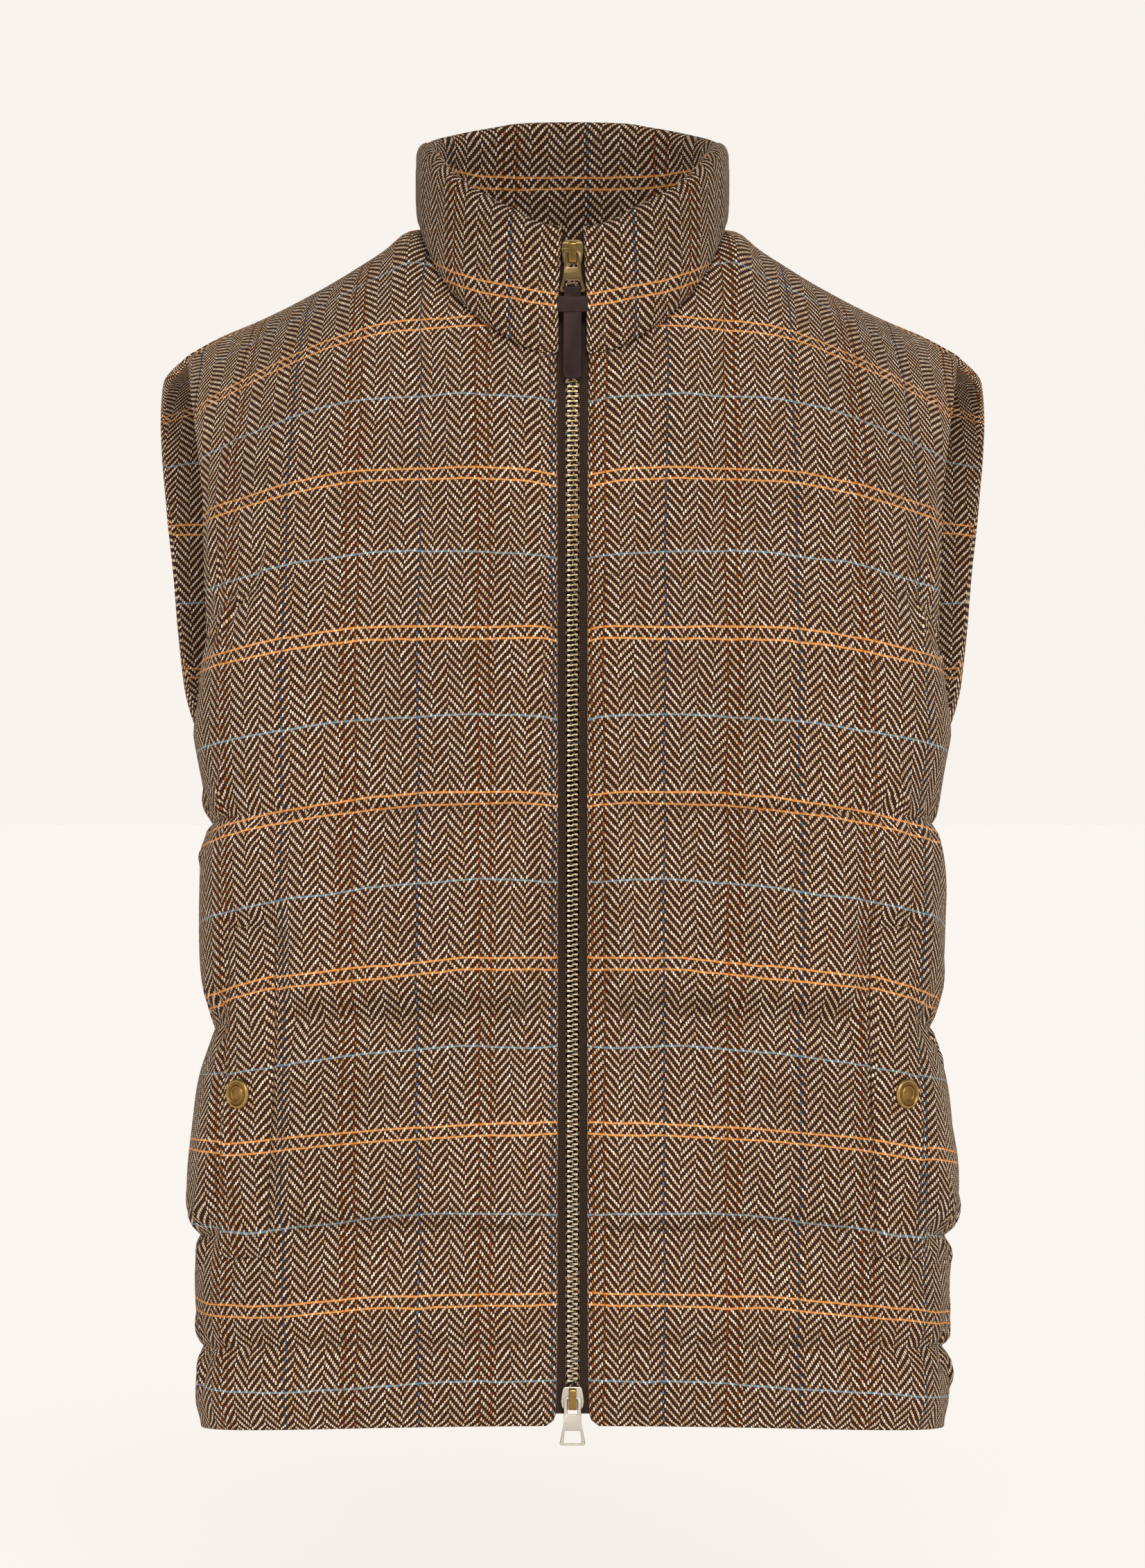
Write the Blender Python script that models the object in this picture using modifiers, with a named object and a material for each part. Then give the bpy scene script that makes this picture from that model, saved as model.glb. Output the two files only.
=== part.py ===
"""Quilted tweed vest with a stand collar, a two-way zip and two snapped welt pockets.

Metres, +Z up, front towards -Y.  The origin lies midway between the two side-neck points,
where the vest rests on its wearer.  The wearer's left is at +X.
"""
import math

import bmesh
import bpy
import numpy as np
from mathutils import Matrix, Vector
from mathutils.bvhtree import BVHTree

for old in list(bpy.data.objects):
    bpy.data.objects.remove(old, do_unlink=True)

# Body heights on the centre-front line
HEM_Z = -0.6555
UNDERARM_Z = -0.262
CHEST_SEAM_Z = -0.185
NECK_FRONT_Z = -0.059
SIDE_DROP = 0.0145           # rows fall by this from the centre front to the side seam

# Walls and gaps
WALL = 0.005                 # cloth and filling where they are stitched flat
GAP = 0.0003
EDGE_ROUND = 0.0016          # how far a free edge bulges past its last row
SEAM_INSET = 0.0009          # share of a column's upper length left out at its top seam

# Neck ring, seen from above
NECK_HALF = 0.079
NECK_FRONT = 0.104
NECK_BACK = 0.066
NECK_SIDE_Z = 0.006
NECK_BACK_Z = 0.018

# Collar
COLLAR_FRONT_Z = 0.0105
COLLAR_WALL = 0.011

# Section shapes: superellipse powers
FRONT_POWER = 4.0
BACK_POWER = 3.0
FRONT_LENGTH = 0.303         # round the inside from the centre front to the side seam

# Tables are (height, value) rows; heights are those on the centre-front line
HALF_WIDTH = [
    (HEM_Z, 0.2076),
    (-0.608, 0.2062),
    (-0.548, 0.2076),
    (-0.4296, 0.1998),
    (-0.3130, 0.2000),
    (-0.262, 0.2070),
]
FRONT_DEPTH = [
    (HEM_Z, 0.1120),
    (-0.540, 0.1160),
    (-0.400, 0.1170),
    (-0.262, 0.1160),
]
BACK_DEPTH = [
    (HEM_Z, 0.1000),
    (-0.540, 0.1020),
    (-0.400, 0.0980),
    (-0.262, 0.1040),
]

# Half the opening between the front edges, (height, half width)
FRONT_EDGE = [
    (HEM_Z, 0.0104),
    (-0.630, 0.0094),
    (-0.560, 0.0088),
    (-0.150, 0.0088),
    (-0.059, 0.0092),
    (-0.034, 0.0092),
    (-0.020, 0.0086),
    (-0.003, 0.0079),
    (0.0105, 0.0074),
]

# Shoulder line of the plain inside, carried on over the neck opening, (x, height)
SHOULDER = [
    (0.0, 0.0500),
    (0.040, 0.0360),
    (0.070, 0.0195),
    (0.080, 0.0145),
    (0.090, 0.0115),
    (0.100, 0.0058),
    (0.116, -0.0040),
    (0.140, -0.0180),
    (0.179, -0.0372),
    (0.200, -0.0460),
    (0.2195, -0.0565),
]
# Roundness from chest to shoulder, (share, superellipse power in front, behind)
UPPER_POWER = [
    (0.0, 3.05, 3.00),
    (0.10, 2.90, 2.95),
    (0.16, 2.70, 2.88),
    (0.21, 2.46, 2.80),
    (0.25, 2.27, 2.72),
    (0.30, 2.14, 2.60),
    (0.50, 2.12, 2.40),
    (1.0, 2.20, 2.20),
]

# Armhole edges, (share of the way up, x, y, height)
FRONT_ARMHOLE = [
    (0.00, 0.2070, 0.000, -0.2765),
    (0.12, 0.2035, -0.026, -0.266),
    (0.30, 0.2032, -0.046, -0.232),
    (0.50, 0.2045, -0.054, -0.185),
    (0.70, 0.2070, -0.050, -0.138),
    (0.85, 0.2125, -0.034, -0.096),
    (1.00, 0.2195, 0.000, -0.0565),
]
BACK_ARMHOLE = [
    (0.00, 0.2070, 0.000, -0.2765),
    (0.10, 0.2160, 0.028, -0.268),
    (0.22, 0.2250, 0.046, -0.243),
    (0.36, 0.2300, 0.055, -0.208),
    (0.50, 0.2335, 0.058, -0.172),
    (0.64, 0.2372, 0.055, -0.136),
    (0.78, 0.2390, 0.045, -0.101),
    (0.90, 0.2360, 0.024, -0.072),
    (1.00, 0.2195, 0.000, -0.0565),
]
ARMHOLE_SCOOP = 0.16         # share of a row's length cut away by the armhole

# Quilting channels, (lower seam, upper seam, filling in front, filling at the side)
CHANNELS = [
    (HEM_Z, -0.610, 0.0020, 0.0040),
    (-0.610, -0.547, 0.0024, 0.0038),
    (-0.547, -0.429, 0.0032, 0.0094),
    (-0.429, -0.313, 0.0032, 0.0088),
    (-0.313, -0.185, 0.0032, 0.0046),
]
# Collar's rim, (how far round from the centre front: 1 at the side, 2 at the back, height)
COLLAR_RIM = [
    (0.0, 0.0105),
    (0.041, 0.0217),
    (0.154, 0.0346),
    (0.31, 0.0480),
    (0.482, 0.0590),
    (0.737, 0.0668),
    (1.0, 0.0698),
    (1.20, 0.0722),
    (1.42, 0.0762),
    (1.61, 0.0800),
    (1.767, 0.0840),
    (1.878, 0.0873),
    (1.94, 0.0898),
    (2.0, 0.0912),
]
YOKE_FILL = 0.0034
SIDE_SEAM_FILL = 0.62        # share of the filling left at the side seam

# Rows up a panel, heights on the centre front, then shares of the way to the top seam
ROW_HEIGHTS = [
    HEM_Z, -0.647, -0.632, -0.610, -0.598, -0.578, -0.559, -0.547, -0.537, -0.514, -0.488,
    -0.462, -0.439, -0.429, -0.419, -0.397, -0.374, -0.346, -0.323, -0.313, -0.303, -0.284,
    -0.262, -0.240, -0.214, -0.195, -0.185,
]
ROW_SHARES = [0.05, 0.16, 0.32, 0.48, 0.64, 0.78, 0.90, 1.0]
# Columns across a front panel: steps from the zip edge, then shares of the way to the side
EDGE_COLUMNS = [0.0, 0.012, 0.040]
FRONT_COLUMNS = [0.10, 0.15, 0.20, 0.25, 0.295, 0.34, 0.385, 0.44, 0.49, 0.54, 0.585, 0.63,
                 0.68, 0.76, 0.86, 0.92, 0.97, 0.9991]
BACK_COLUMNS = [0.0, 0.09, 0.17, 0.24, 0.295, 0.34, 0.385, 0.44, 0.52, 0.62, 0.73, 0.83, 0.92, 0.97, 0.9991]
# Columns fan in towards the neck, (share below the underarm, share at the top)
FAN = [
    (0.0, 0.0),
    (0.10, 0.095),
    (0.20, 0.180),
    (0.25, 0.214),
    (0.295, 0.239),
    (0.34, 0.260),
    (0.385, 0.2835),
    (0.44, 0.345),
    (0.54, 0.480),
    (0.68, 0.655),
    (0.83, 0.825),
    (1.0, 1.0),
]

# Pocket welts, in rows and columns of the front panel
WELT_COLUMNS = [0.585, 0.63, 0.68]
WELT_BOTTOM = -0.559
WELT_TOP = -0.374
WELT_WALL = 0.0026

# Zip
TAPE_INNER = 0.0038
TAPE_OUTER = 0.0170
TAPE_WALL = 0.0010
CHAIN_HALF = 0.0033
TAPE_BOTTOM_Z = -0.6500
TAPE_TOP_Z = 0.0060
CHAIN_BOTTOM_Z = -0.6320
CHAIN_TOP_Z = -0.0070
CHAIN_FRONT = 0.0008         # chain stands this far in front of the plain inside
CHAIN_BACK = 0.0020
PLATE_BACK = 0.0011
PLATE_FRONT = 0.0028
BRIDGE_FRONT = 0.0064
BRIDGE_HALF = 0.0021
TAB_PIVOT = 0.0043           # pivot's distance in front of the plain inside
TAB_WALL = 0.0012
TOP_PIVOT_Z = -0.0037
BOTTOM_PIVOT_Z = -0.6409
LEATHER_HALF = 0.0050

# Snaps
SNAP_RADIUS = 0.0085
SNAP_Z = -0.4686             # height on the centre-front line
SNAP_ASIDE = 0.33            # share of the way from the welt's middle column to its outer edge

TWEED = (0.235, 0.160, 0.100)
TWEED_EDGE = (0.180, 0.118, 0.072)
TAPE_BROWN = (0.045, 0.026, 0.016)
OLD_BRASS = (0.42, 0.31, 0.13)
PALE_BRASS = (0.62, 0.52, 0.36)
DARK_LEATHER = (0.030, 0.018, 0.015)


def material(name, colour, roughness, metallic=0.0):
    made = bpy.data.materials.new(name)
    made.use_nodes = True
    shader = made.node_tree.nodes["Principled BSDF"]
    shader.inputs["Base Color"].default_value = (*colour, 1.0)
    shader.inputs["Roughness"].default_value = roughness
    shader.inputs["Metallic"].default_value = metallic
    made.diffuse_color = (*colour, 1.0)
    return made


tweed = material("tweed", TWEED, 0.92)
tweed_edge = material("tweed_edge", TWEED_EDGE, 0.92)
tape_brown = material("tape_brown", TAPE_BROWN, 0.85)
old_brass = material("old_brass", OLD_BRASS, 0.38, 1.0)
pale_brass = material("pale_brass", PALE_BRASS, 0.34, 1.0)
dark_leather = material("dark_leather", DARK_LEATHER, 0.55)

vest = bpy.data.collections.new("quilted_vest")
bpy.context.scene.collection.children.link(vest)
cutters = bpy.data.collections.new("cutters")
bpy.context.scene.collection.children.link(cutters)


# Curves and sections

def smooth_table(table, at, column=1):
    """Value at a height, through the table's rows with no overshoot between them."""
    keys = [row[0] for row in table]
    values = [row[column] for row in table]
    slopes = [(values[i + 1] - values[i]) / (keys[i + 1] - keys[i]) for i in range(len(keys) - 1)]
    tangents = [slopes[0]]
    for low, high in zip(slopes[:-1], slopes[1:]):
        tangents.append(0.0 if low * high <= 0.0 else 2.0 * low * high / (low + high))
    tangents.append(slopes[-1])
    at = min(max(at, keys[0]), keys[-1])
    place = max(i for i in range(len(keys) - 1) if keys[i] <= at)
    span = keys[place + 1] - keys[place]
    t = (at - keys[place]) / span
    return (values[place] * (2 * t ** 3 - 3 * t ** 2 + 1)
            + tangents[place] * span * (t ** 3 - 2 * t ** 2 + t)
            + values[place + 1] * (3 * t ** 2 - 2 * t ** 3)
            + tangents[place + 1] * span * (t ** 3 - t ** 2))


def ease(low, high, at):
    t = min(max((at - low) / (high - low), 0.0), 1.0)
    return t * t * (3.0 - 2.0 * t)


def section(half_width, depth, power, share):
    """Point on a quarter of the body's section, by its share of the way from centre to side."""
    angle = np.linspace(0.0, math.pi / 2, 361)
    xs = half_width * np.sin(angle) ** (2 / power)
    ys = depth * np.maximum(np.cos(angle), 0.0) ** (2 / power)
    ys[-1] = 0.0
    steps = np.hypot(np.diff(xs), np.diff(ys))
    run = np.concatenate([[0.0], np.cumsum(steps)])
    run /= run[-1]
    return float(np.interp(share, run, xs)), float(np.interp(share, run, ys))


def neck_ring(turn, front):
    """Point on the neck seam; turn runs from 0 at the centre to 1 at the side."""
    power = 2.6 if front else 2.2
    across = math.sin(turn * math.pi / 2)
    out = max(1.0 - across ** power, 0.0) ** (1 / power)
    if front:
        height = NECK_FRONT_Z + (NECK_SIDE_Z - NECK_FRONT_Z) * (1.0 - out) ** 0.72
        return Vector((NECK_HALF * across, -NECK_FRONT * out, height))
    height = NECK_SIDE_Z + (NECK_BACK_Z - NECK_SIDE_Z) * out
    return Vector((NECK_HALF * across, NECK_BACK * out, height))


def collar_top(turn, front):
    """Height of the collar's rim round the neck ring."""
    power = 2.6 if front else 2.2
    out = max(1.0 - math.sin(turn * math.pi / 2) ** power, 0.0) ** (1 / power)
    return smooth_table(COLLAR_RIM, 1.0 - out if front else 1.0 + out)


def body_point(share, height, front):
    """Plain inside of the body below the armholes."""
    depth = FRONT_DEPTH if front else BACK_DEPTH
    power = FRONT_POWER if front else BACK_POWER
    x, y = section(smooth_table(HALF_WIDTH, height), smooth_table(depth, height), power, share)
    drop = SIDE_DROP * share ** 2.6 if front else SIDE_DROP
    return Vector((x, -y if front else y, height - drop))


def upper_path(share, front, steps=96):
    """Column of the plain inside from the underarm row to the neck ring or the shoulder seam."""
    armhole = FRONT_ARMHOLE if front else BACK_ARMHOLE
    fan = smooth_table(FAN, share) - share
    depth = NECK_FRONT if front else NECK_BACK
    power = 2.6 if front else 2.2
    path = []
    before = 1.0
    for step in range(steps + 1):
        rise = step / steps
        at = share + fan * rise ** 3
        scoop = ARMHOLE_SCOOP * math.sin(math.pi * rise) ** 0.8
        bulge = smooth_table(UPPER_POWER, at, 1 if front else 2)
        place = upper_point(at * (1.0 - scoop * ease(0.30, 1.0, at)), rise, bulge, front)
        edge = upper_point(1.0 - scoop, rise, UPPER_POWER[-1][1], front)
        wanted = Vector([smooth_table(armhole, rise, column) for column in (1, 2, 3)])
        place += (wanted - edge) * at ** 3
        outside = (abs(place.x) / NECK_HALF) ** power + (abs(place.y) / depth) ** power - 1.0
        if outside <= 0.0 and share < 0.5:
            t = before / (before - outside) if before > outside else 1.0
            path.append(path[-1].lerp(place, t))
            return path
        before = outside
        path.append(place)
    return path


def top_x(share):
    """Where a column would meet the shoulder line, were there no neck opening."""
    return SHOULDER[-1][0] * (1.0 - (1.0 - share) ** 1.37)


def upper_point(share, rise, bulge, front):
    """Plain inside above the underarm row, rounded over to the shoulder line."""
    low = body_point(share, UNDERARM_Z, front)
    x = top_x(share)
    turn = rise * math.pi / 2
    up = math.sin(turn) ** (2 / bulge)
    over = 1.0 - max(math.cos(turn), 0.0) ** (2 / bulge) if rise < 1.0 else 1.0
    return Vector((low.x + (x - low.x) * ease(0.0, 1.0, rise),
                   low.y * (1.0 - over),
                   low.z + (smooth_table(SHOULDER, x) - low.z) * up))


def along_path(path, distances):
    """Points at given distances along a path."""
    coords = np.array([list(p) for p in path])
    run = np.concatenate([[0.0], np.cumsum(np.linalg.norm(np.diff(coords, axis=0), axis=1))])
    return [Vector([float(np.interp(d, run, coords[:, k])) for k in range(3)]) for d in distances], run[-1]


def inside_column(share, front, top_inset):
    """One column of the plain inside, hem to top seam."""
    column = [body_point(share, height, front) for height in ROW_HEIGHTS if height <= UNDERARM_Z]
    path = upper_path(share, front)
    chest = [height - UNDERARM_Z for height in ROW_HEIGHTS if height > UNDERARM_Z]
    rest, length = along_path(path, chest)
    span = length - chest[-1]
    tops, _ = along_path(path, [chest[-1] + span * min(s, 1.0 - top_inset) for s in ROW_SHARES])
    return column + rest + tops


def channel_fill(row, side):
    """Filling's height in a quilting channel, side running from 0 in front to 1 at the side."""
    if row >= len(ROW_HEIGHTS):
        return YOKE_FILL * math.sin(math.pi * ROW_SHARES[row - len(ROW_HEIGHTS)]) ** 0.55
    height = ROW_HEIGHTS[row]
    for low, high, in_front, at_side in CHANNELS:
        if low <= height < high:
            wave = math.sin(math.pi * (height - low) / (high - low)) ** 0.62
            return (in_front + (at_side - in_front) * side) * wave
    return 0.0


def normals_of(grid, turned):
    """Outward directions of a grid's points, from its neighbours."""
    rows = len(grid)
    columns = len(grid[0])
    found = []
    for i in range(rows):
        line = []
        for j in range(columns):
            across = grid[i][min(j + 1, columns - 1)] - grid[i][max(j - 1, 0)]
            up = grid[min(i + 1, rows - 1)][j] - grid[max(i - 1, 0)][j]
            line.append((across.cross(up) * turned).normalized())
        found.append(line)
    return found


def put(name, mesh, shade_angle=40.0):
    obj = bpy.data.objects.new(name, mesh)
    vest.objects.link(obj)
    mesh.shade_smooth()
    mesh.set_sharp_from_angle(angle=math.radians(shade_angle))
    return obj


def wall_mesh(name, inner, outer, paint, rounds, turned=False):
    """Closed wall between two grids; rounds gives each border's bulge: low, high, first, last."""
    rows = len(inner)
    columns = len(inner[0])
    points = [p for line in inner for p in line] + [p for line in outer for p in line]
    size = rows * columns
    faces = []
    for i in range(rows - 1):
        for j in range(columns - 1):
            a = i * columns + j
            b = a + 1
            c = a + columns + 1
            d = a + columns
            if (outer[i][j] - outer[i + 1][j + 1]).length < (outer[i][j + 1] - outer[i + 1][j]).length:
                halves = ((a, b, c), (a, c, d))
            else:
                halves = ((a, b, d), (b, c, d))
            for half in halves:
                faces.append(tuple(size + k for k in half))
                faces.append(tuple(reversed(half)))
    border = [(0, j) for j in range(columns)]
    border += [(i, columns - 1) for i in range(1, rows)]
    border += [(rows - 1, j) for j in range(columns - 2, -1, -1)]
    border += [(i, 0) for i in range(rows - 2, 0, -1)]
    middle = []
    for i, j in border:
        out = Vector()
        if i == 0:
            out += (inner[0][j] - inner[1][j]).normalized() * rounds["low"]
        if i == rows - 1:
            out += (inner[-1][j] - inner[-2][j]).normalized() * rounds["high"]
        if j == 0:
            out += (inner[i][0] - inner[i][1]).normalized() * rounds["first"](i)
        if j == columns - 1:
            out += (inner[i][-1] - inner[i][-2]).normalized() * rounds["last"](i)
        middle.append(len(points))
        points.append((inner[i][j] + outer[i][j]) / 2 + out)
    for k in range(len(border)):
        here = border[k][0] * columns + border[k][1]
        step = (k + 1) % len(border)
        after = border[step][0] * columns + border[step][1]
        faces.append((here, after, middle[step]))
        faces.append((here, middle[step], middle[k]))
        faces.append((middle[k], middle[step], size + after))
        faces.append((middle[k], size + after, size + here))
    if turned:
        faces = [tuple(reversed(face)) for face in faces]
    mesh = bpy.data.meshes.new(name)
    mesh.from_pydata([tuple(p) for p in points], [], faces)
    mesh.materials.append(paint)
    mesh.validate()
    return put(name, mesh)


def mirrored(grid):
    return [[Vector((-p.x, p.y, p.z)) for p in line] for line in grid]


# Front panels: grids of the plain inside and of the quilted outside

def row_height(row):
    """Height of a row on the centre front."""
    if row < len(ROW_HEIGHTS):
        return ROW_HEIGHTS[row]
    return CHEST_SEAM_Z + (NECK_FRONT_Z - CHEST_SEAM_Z) * ROW_SHARES[row - len(ROW_HEIGHTS)]


ROW_TOTAL = len(ROW_HEIGHTS) + len(ROW_SHARES)


def edge_fill(row, share):
    """How much of the filling is left near the hem, the armhole and the side seam."""
    left = 1.0
    if row < 5:
        left *= ease(-0.004, 0.014, ROW_HEIGHTS[row] - HEM_Z)
    if row_height(row) > UNDERARM_Z - 0.001:
        return left * ease(-0.004, 0.018, (1.0 - share) * 0.26)
    return left * (SIDE_SEAM_FILL + (1.0 - SIDE_SEAM_FILL) * ease(0.0, 0.028, (1.0 - share) * 0.30))


def front_grids():
    edges = [smooth_table(FRONT_EDGE, row_height(row)) + EDGE_ROUND for row in range(ROW_TOTAL)]
    shares = [[edge / FRONT_LENGTH + step for edge in edges] for step in EDGE_COLUMNS]
    shares += [[share] * ROW_TOTAL for share in FRONT_COLUMNS]
    known = {}
    inner = [[] for row in range(ROW_TOTAL)]
    for line in shares:
        for row in range(ROW_TOTAL):
            key = round(line[row], 5)
            if key not in known:
                known[key] = inside_column(key, True, SEAM_INSET)
            inner[row].append(known[key][row])
    normals = normals_of(inner, 1.0)
    outer = []
    for row in range(ROW_TOTAL):
        points = []
        for j, line in enumerate(shares):
            share = line[row]
            fill = channel_fill(row, ease(0.50, 0.93, share))
            if 0.55 < share < 0.72 and WELT_BOTTOM - 0.004 < row_height(row) < WELT_TOP + 0.004:
                fill = max(fill, 0.0040)
            fill *= edge_fill(row, share) * ease(-0.003, 0.016, (share - shares[0][row]) * 0.30)
            points.append(inner[row][j] + normals[row][j] * (WALL + fill))
        outer.append(points)
    return inner, outer, normals


def back_grids():
    half = [inside_column(share, False, SEAM_INSET) for share in BACK_COLUMNS]
    order = [(1, j) for j in range(len(half) - 1, -1, -1)] + [(-1, j) for j in range(1, len(half))]
    inner = []
    for row in range(ROW_TOTAL):
        inner.append([Vector((half[j][row].x * sign, half[j][row].y, half[j][row].z)) for sign, j in order])
    normals = normals_of(inner, 1.0)
    outer = []
    for row in range(ROW_TOTAL):
        points = []
        for k, (sign, j) in enumerate(order):
            share = BACK_COLUMNS[j]
            fill = channel_fill(row, ease(0.62, 0.95, share)) * edge_fill(row, share)
            points.append(inner[row][k] + normals[row][k] * (WALL + fill))
        outer.append(points)
    return inner, outer


front_inner, front_outer, front_normals = front_grids()
back_inner, back_outer = back_grids()
UNDERARM_ROW = ROW_HEIGHTS.index(UNDERARM_Z)


def edge_round(row):
    return EDGE_ROUND


def armhole_round(row):
    return EDGE_ROUND if row > UNDERARM_ROW else 0.0


front_rounds = {"low": EDGE_ROUND, "high": 0.0, "first": edge_round, "last": armhole_round}
back_rounds = {"low": EDGE_ROUND, "high": 0.0, "first": armhole_round, "last": armhole_round}
panels = [
    wall_mesh("front_left", front_inner, front_outer, tweed, front_rounds),
    wall_mesh("front_right", mirrored(front_inner), mirrored(front_outer), tweed, front_rounds, turned=True),
    wall_mesh("back", back_inner, back_outer, tweed, back_rounds),
]


def tree_of(objects):
    points = []
    faces = []
    for obj in objects:
        start = len(points)
        points += [vertex.co.copy() for vertex in obj.data.vertices]
        faces += [[start + k for k in face.vertices] for face in obj.data.polygons]
    return BVHTree.FromPolygons(points, faces)


panels_tree = tree_of(panels)


# Collar: a padded band round the neck ring, open at the zip

def even_turns(start, front, count):
    """Turns from start to the side that are evenly spaced along the ring."""
    turns = np.linspace(start, 1.0, 201)
    spots = np.array([list(neck_ring(turn, front)) for turn in turns])
    run = np.concatenate([[0.0], np.cumsum(np.linalg.norm(np.diff(spots, axis=0), axis=1))])
    return [float(np.interp(run[-1] * k / count, run, turns)) for k in range(count + 1)]


def collar_stations():
    """Places round the ring from the left zip edge by the back to the right one."""
    start = math.asin(0.0088 / NECK_HALF) / (math.pi / 2)
    fronts = even_turns(start, True, 12)
    backs = even_turns(0.0, False, 10)
    stations = [(turn, True, 1) for turn in fronts]
    stations += [(turn, False, 1) for turn in reversed(backs[:-1])]
    stations += [(turn, False, -1) for turn in backs[1:]]
    return stations + [(turn, True, -1) for turn in reversed(fronts[:-1])]


def seam_top(foot, out, reach):
    """Highest point of the panels under the collar's wall at one place on the ring."""
    heights = []
    along = Vector((-out.y, out.x, 0.0))
    for step in range(7):
        for aside in (-0.007, -0.0035, -0.001, 0.001, 0.0035, 0.007):
            at = foot + out * (reach * step / 6 - 0.0002) + along * aside
            hit = panels_tree.ray_cast(Vector((at.x, at.y, 0.2)), Vector((0.0, 0.0, -1.0)))[0]
            if hit is not None and hit.z > foot.z - 0.03:
                heights.append(hit.z)
    return max(heights) if heights else foot.z


def collar_grids():
    stations = collar_stations()
    ring = []
    for turn, front, sign in stations:
        p = neck_ring(turn, front)
        ring.append(Vector((p.x * sign, p.y, p.z)))
    # Profile across the band: (outward share of the wall, share of the height, metres off the top)
    profile_inner = [(0.0, 0.0, 0.0), (0.0, 0.22, 0.0), (0.0, 0.5, 0.0), (0.0, 0.78, 0.0),
                     (0.0, 1.0, -0.008), (0.07, 1.0, -0.0045), (0.26, 1.0, -0.0014), (0.5, 1.0, 0.0)]
    profile_outer = [(0.70, 0.0, 0.0), (0.94, 0.11, 0.0), (1.01, 0.34, 0.0), (1.01, 0.68, 0.0),
                     (1.0, 1.0, -0.008), (0.93, 1.0, -0.0045), (0.74, 1.0, -0.0014), (0.505, 1.0, 0.0)]
    inner = [[] for _ in profile_inner]
    outer = [[] for _ in profile_outer]
    for k, (turn, front, sign) in enumerate(stations):
        before = ring[max(k - 1, 0)]
        after = ring[min(k + 1, len(ring) - 1)]
        run = after - before
        out = Vector((run.y, -run.x, 0.0)).normalized()
        high = collar_top(turn, front)
        from_end = min(k, len(stations) - 1 - k)
        thick = COLLAR_WALL * (0.62 if from_end == 0 else 0.86 if from_end == 1 else 1.0)
        low = seam_top(ring[k], out, thick * 0.9) + GAP + 0.0004
        base = Vector((ring[k].x, ring[k].y, 0.0))
        for source, target in ((profile_inner, inner), (profile_outer, outer)):
            for line, (wall_share, share, off) in zip(target, source):
                height = low + (high - low) * share + off
                at = base + out * (thick * wall_share)
                if from_end == 0:
                    edge = smooth_table(FRONT_EDGE, height)
                    at.x = sign * edge
                line.append(Vector((at.x, at.y, height)))
    return inner, outer


collar_inner, collar_outer = collar_grids()


def none(row):
    return 0.0


wall_mesh("collar", collar_inner, collar_outer, tweed,
          {"low": 0.0, "high": 0.0, "first": none, "last": none})


# Zip tapes and chain follow the plain inside at the centre front

def front_line(x):
    """(height, y) up the plain inside at a distance from the centre front, and up the collar."""
    column = inside_column(max(x / FRONT_LENGTH, 0.002), True, 0.0)
    bend = (1.0 - (x / NECK_HALF) ** 2.6) ** (1 / 2.6)
    return [(p.z, p.y) for p in column] + [(COLLAR_FRONT_Z, -NECK_FRONT * bend)]


CENTRE = front_line(0.0)


def line_y(line, height):
    return float(np.interp(height, [row[0] for row in line], [row[1] for row in line]))


def centre_y(height):
    return line_y(CENTRE, height)


def tape_rows():
    low = [TAPE_BOTTOM_Z]
    low += [row[0] for row in CENTRE if TAPE_BOTTOM_Z + 0.004 < row[0] < TAPE_TOP_Z - 0.004][::2]
    return low + [TAPE_TOP_Z]


def tape(name, sign):
    inner = []
    outer = []
    lines = [(x, front_line(x)) for x in (TAPE_INNER, 0.0085, 0.0128, TAPE_OUTER)]
    for height in tape_rows():
        front_face = []
        back_face = []
        for x, line in lines:
            y = line_y(line, height) + GAP + 0.0005
            front_face.append(Vector((x * sign, y, height)))
            back_face.append(Vector((x * sign, y + TAPE_WALL, height)))
        inner.append(back_face)
        outer.append(front_face)
    return wall_mesh(name, inner, outer, tape_brown, {"low": 0.0, "high": 0.0, "first": none, "last": none},
                     turned=sign < 0)


tape("zip_tape_left", 1)
tape("zip_tape_right", -1)


def chain():
    rows = [CHAIN_BOTTOM_Z]
    rows += [row[0] for row in CENTRE if CHAIN_BOTTOM_Z + 0.004 < row[0] < CHAIN_TOP_Z - 0.005][::2]
    rows += [CHAIN_TOP_Z]
    inner = []
    outer = []
    for height in rows:
        y = centre_y(height)
        inner.append([Vector((x, y + CHAIN_BACK, height)) for x in (-CHAIN_HALF, CHAIN_HALF)])
        outer.append([Vector((x, y - CHAIN_FRONT, height)) for x in (-CHAIN_HALF, CHAIN_HALF)])
    return wall_mesh("zip_chain", inner, outer, old_brass,
                     {"low": 0.0, "high": 0.0, "first": none, "last": none})


chain()


# Small hard pieces from flat outlines

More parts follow.
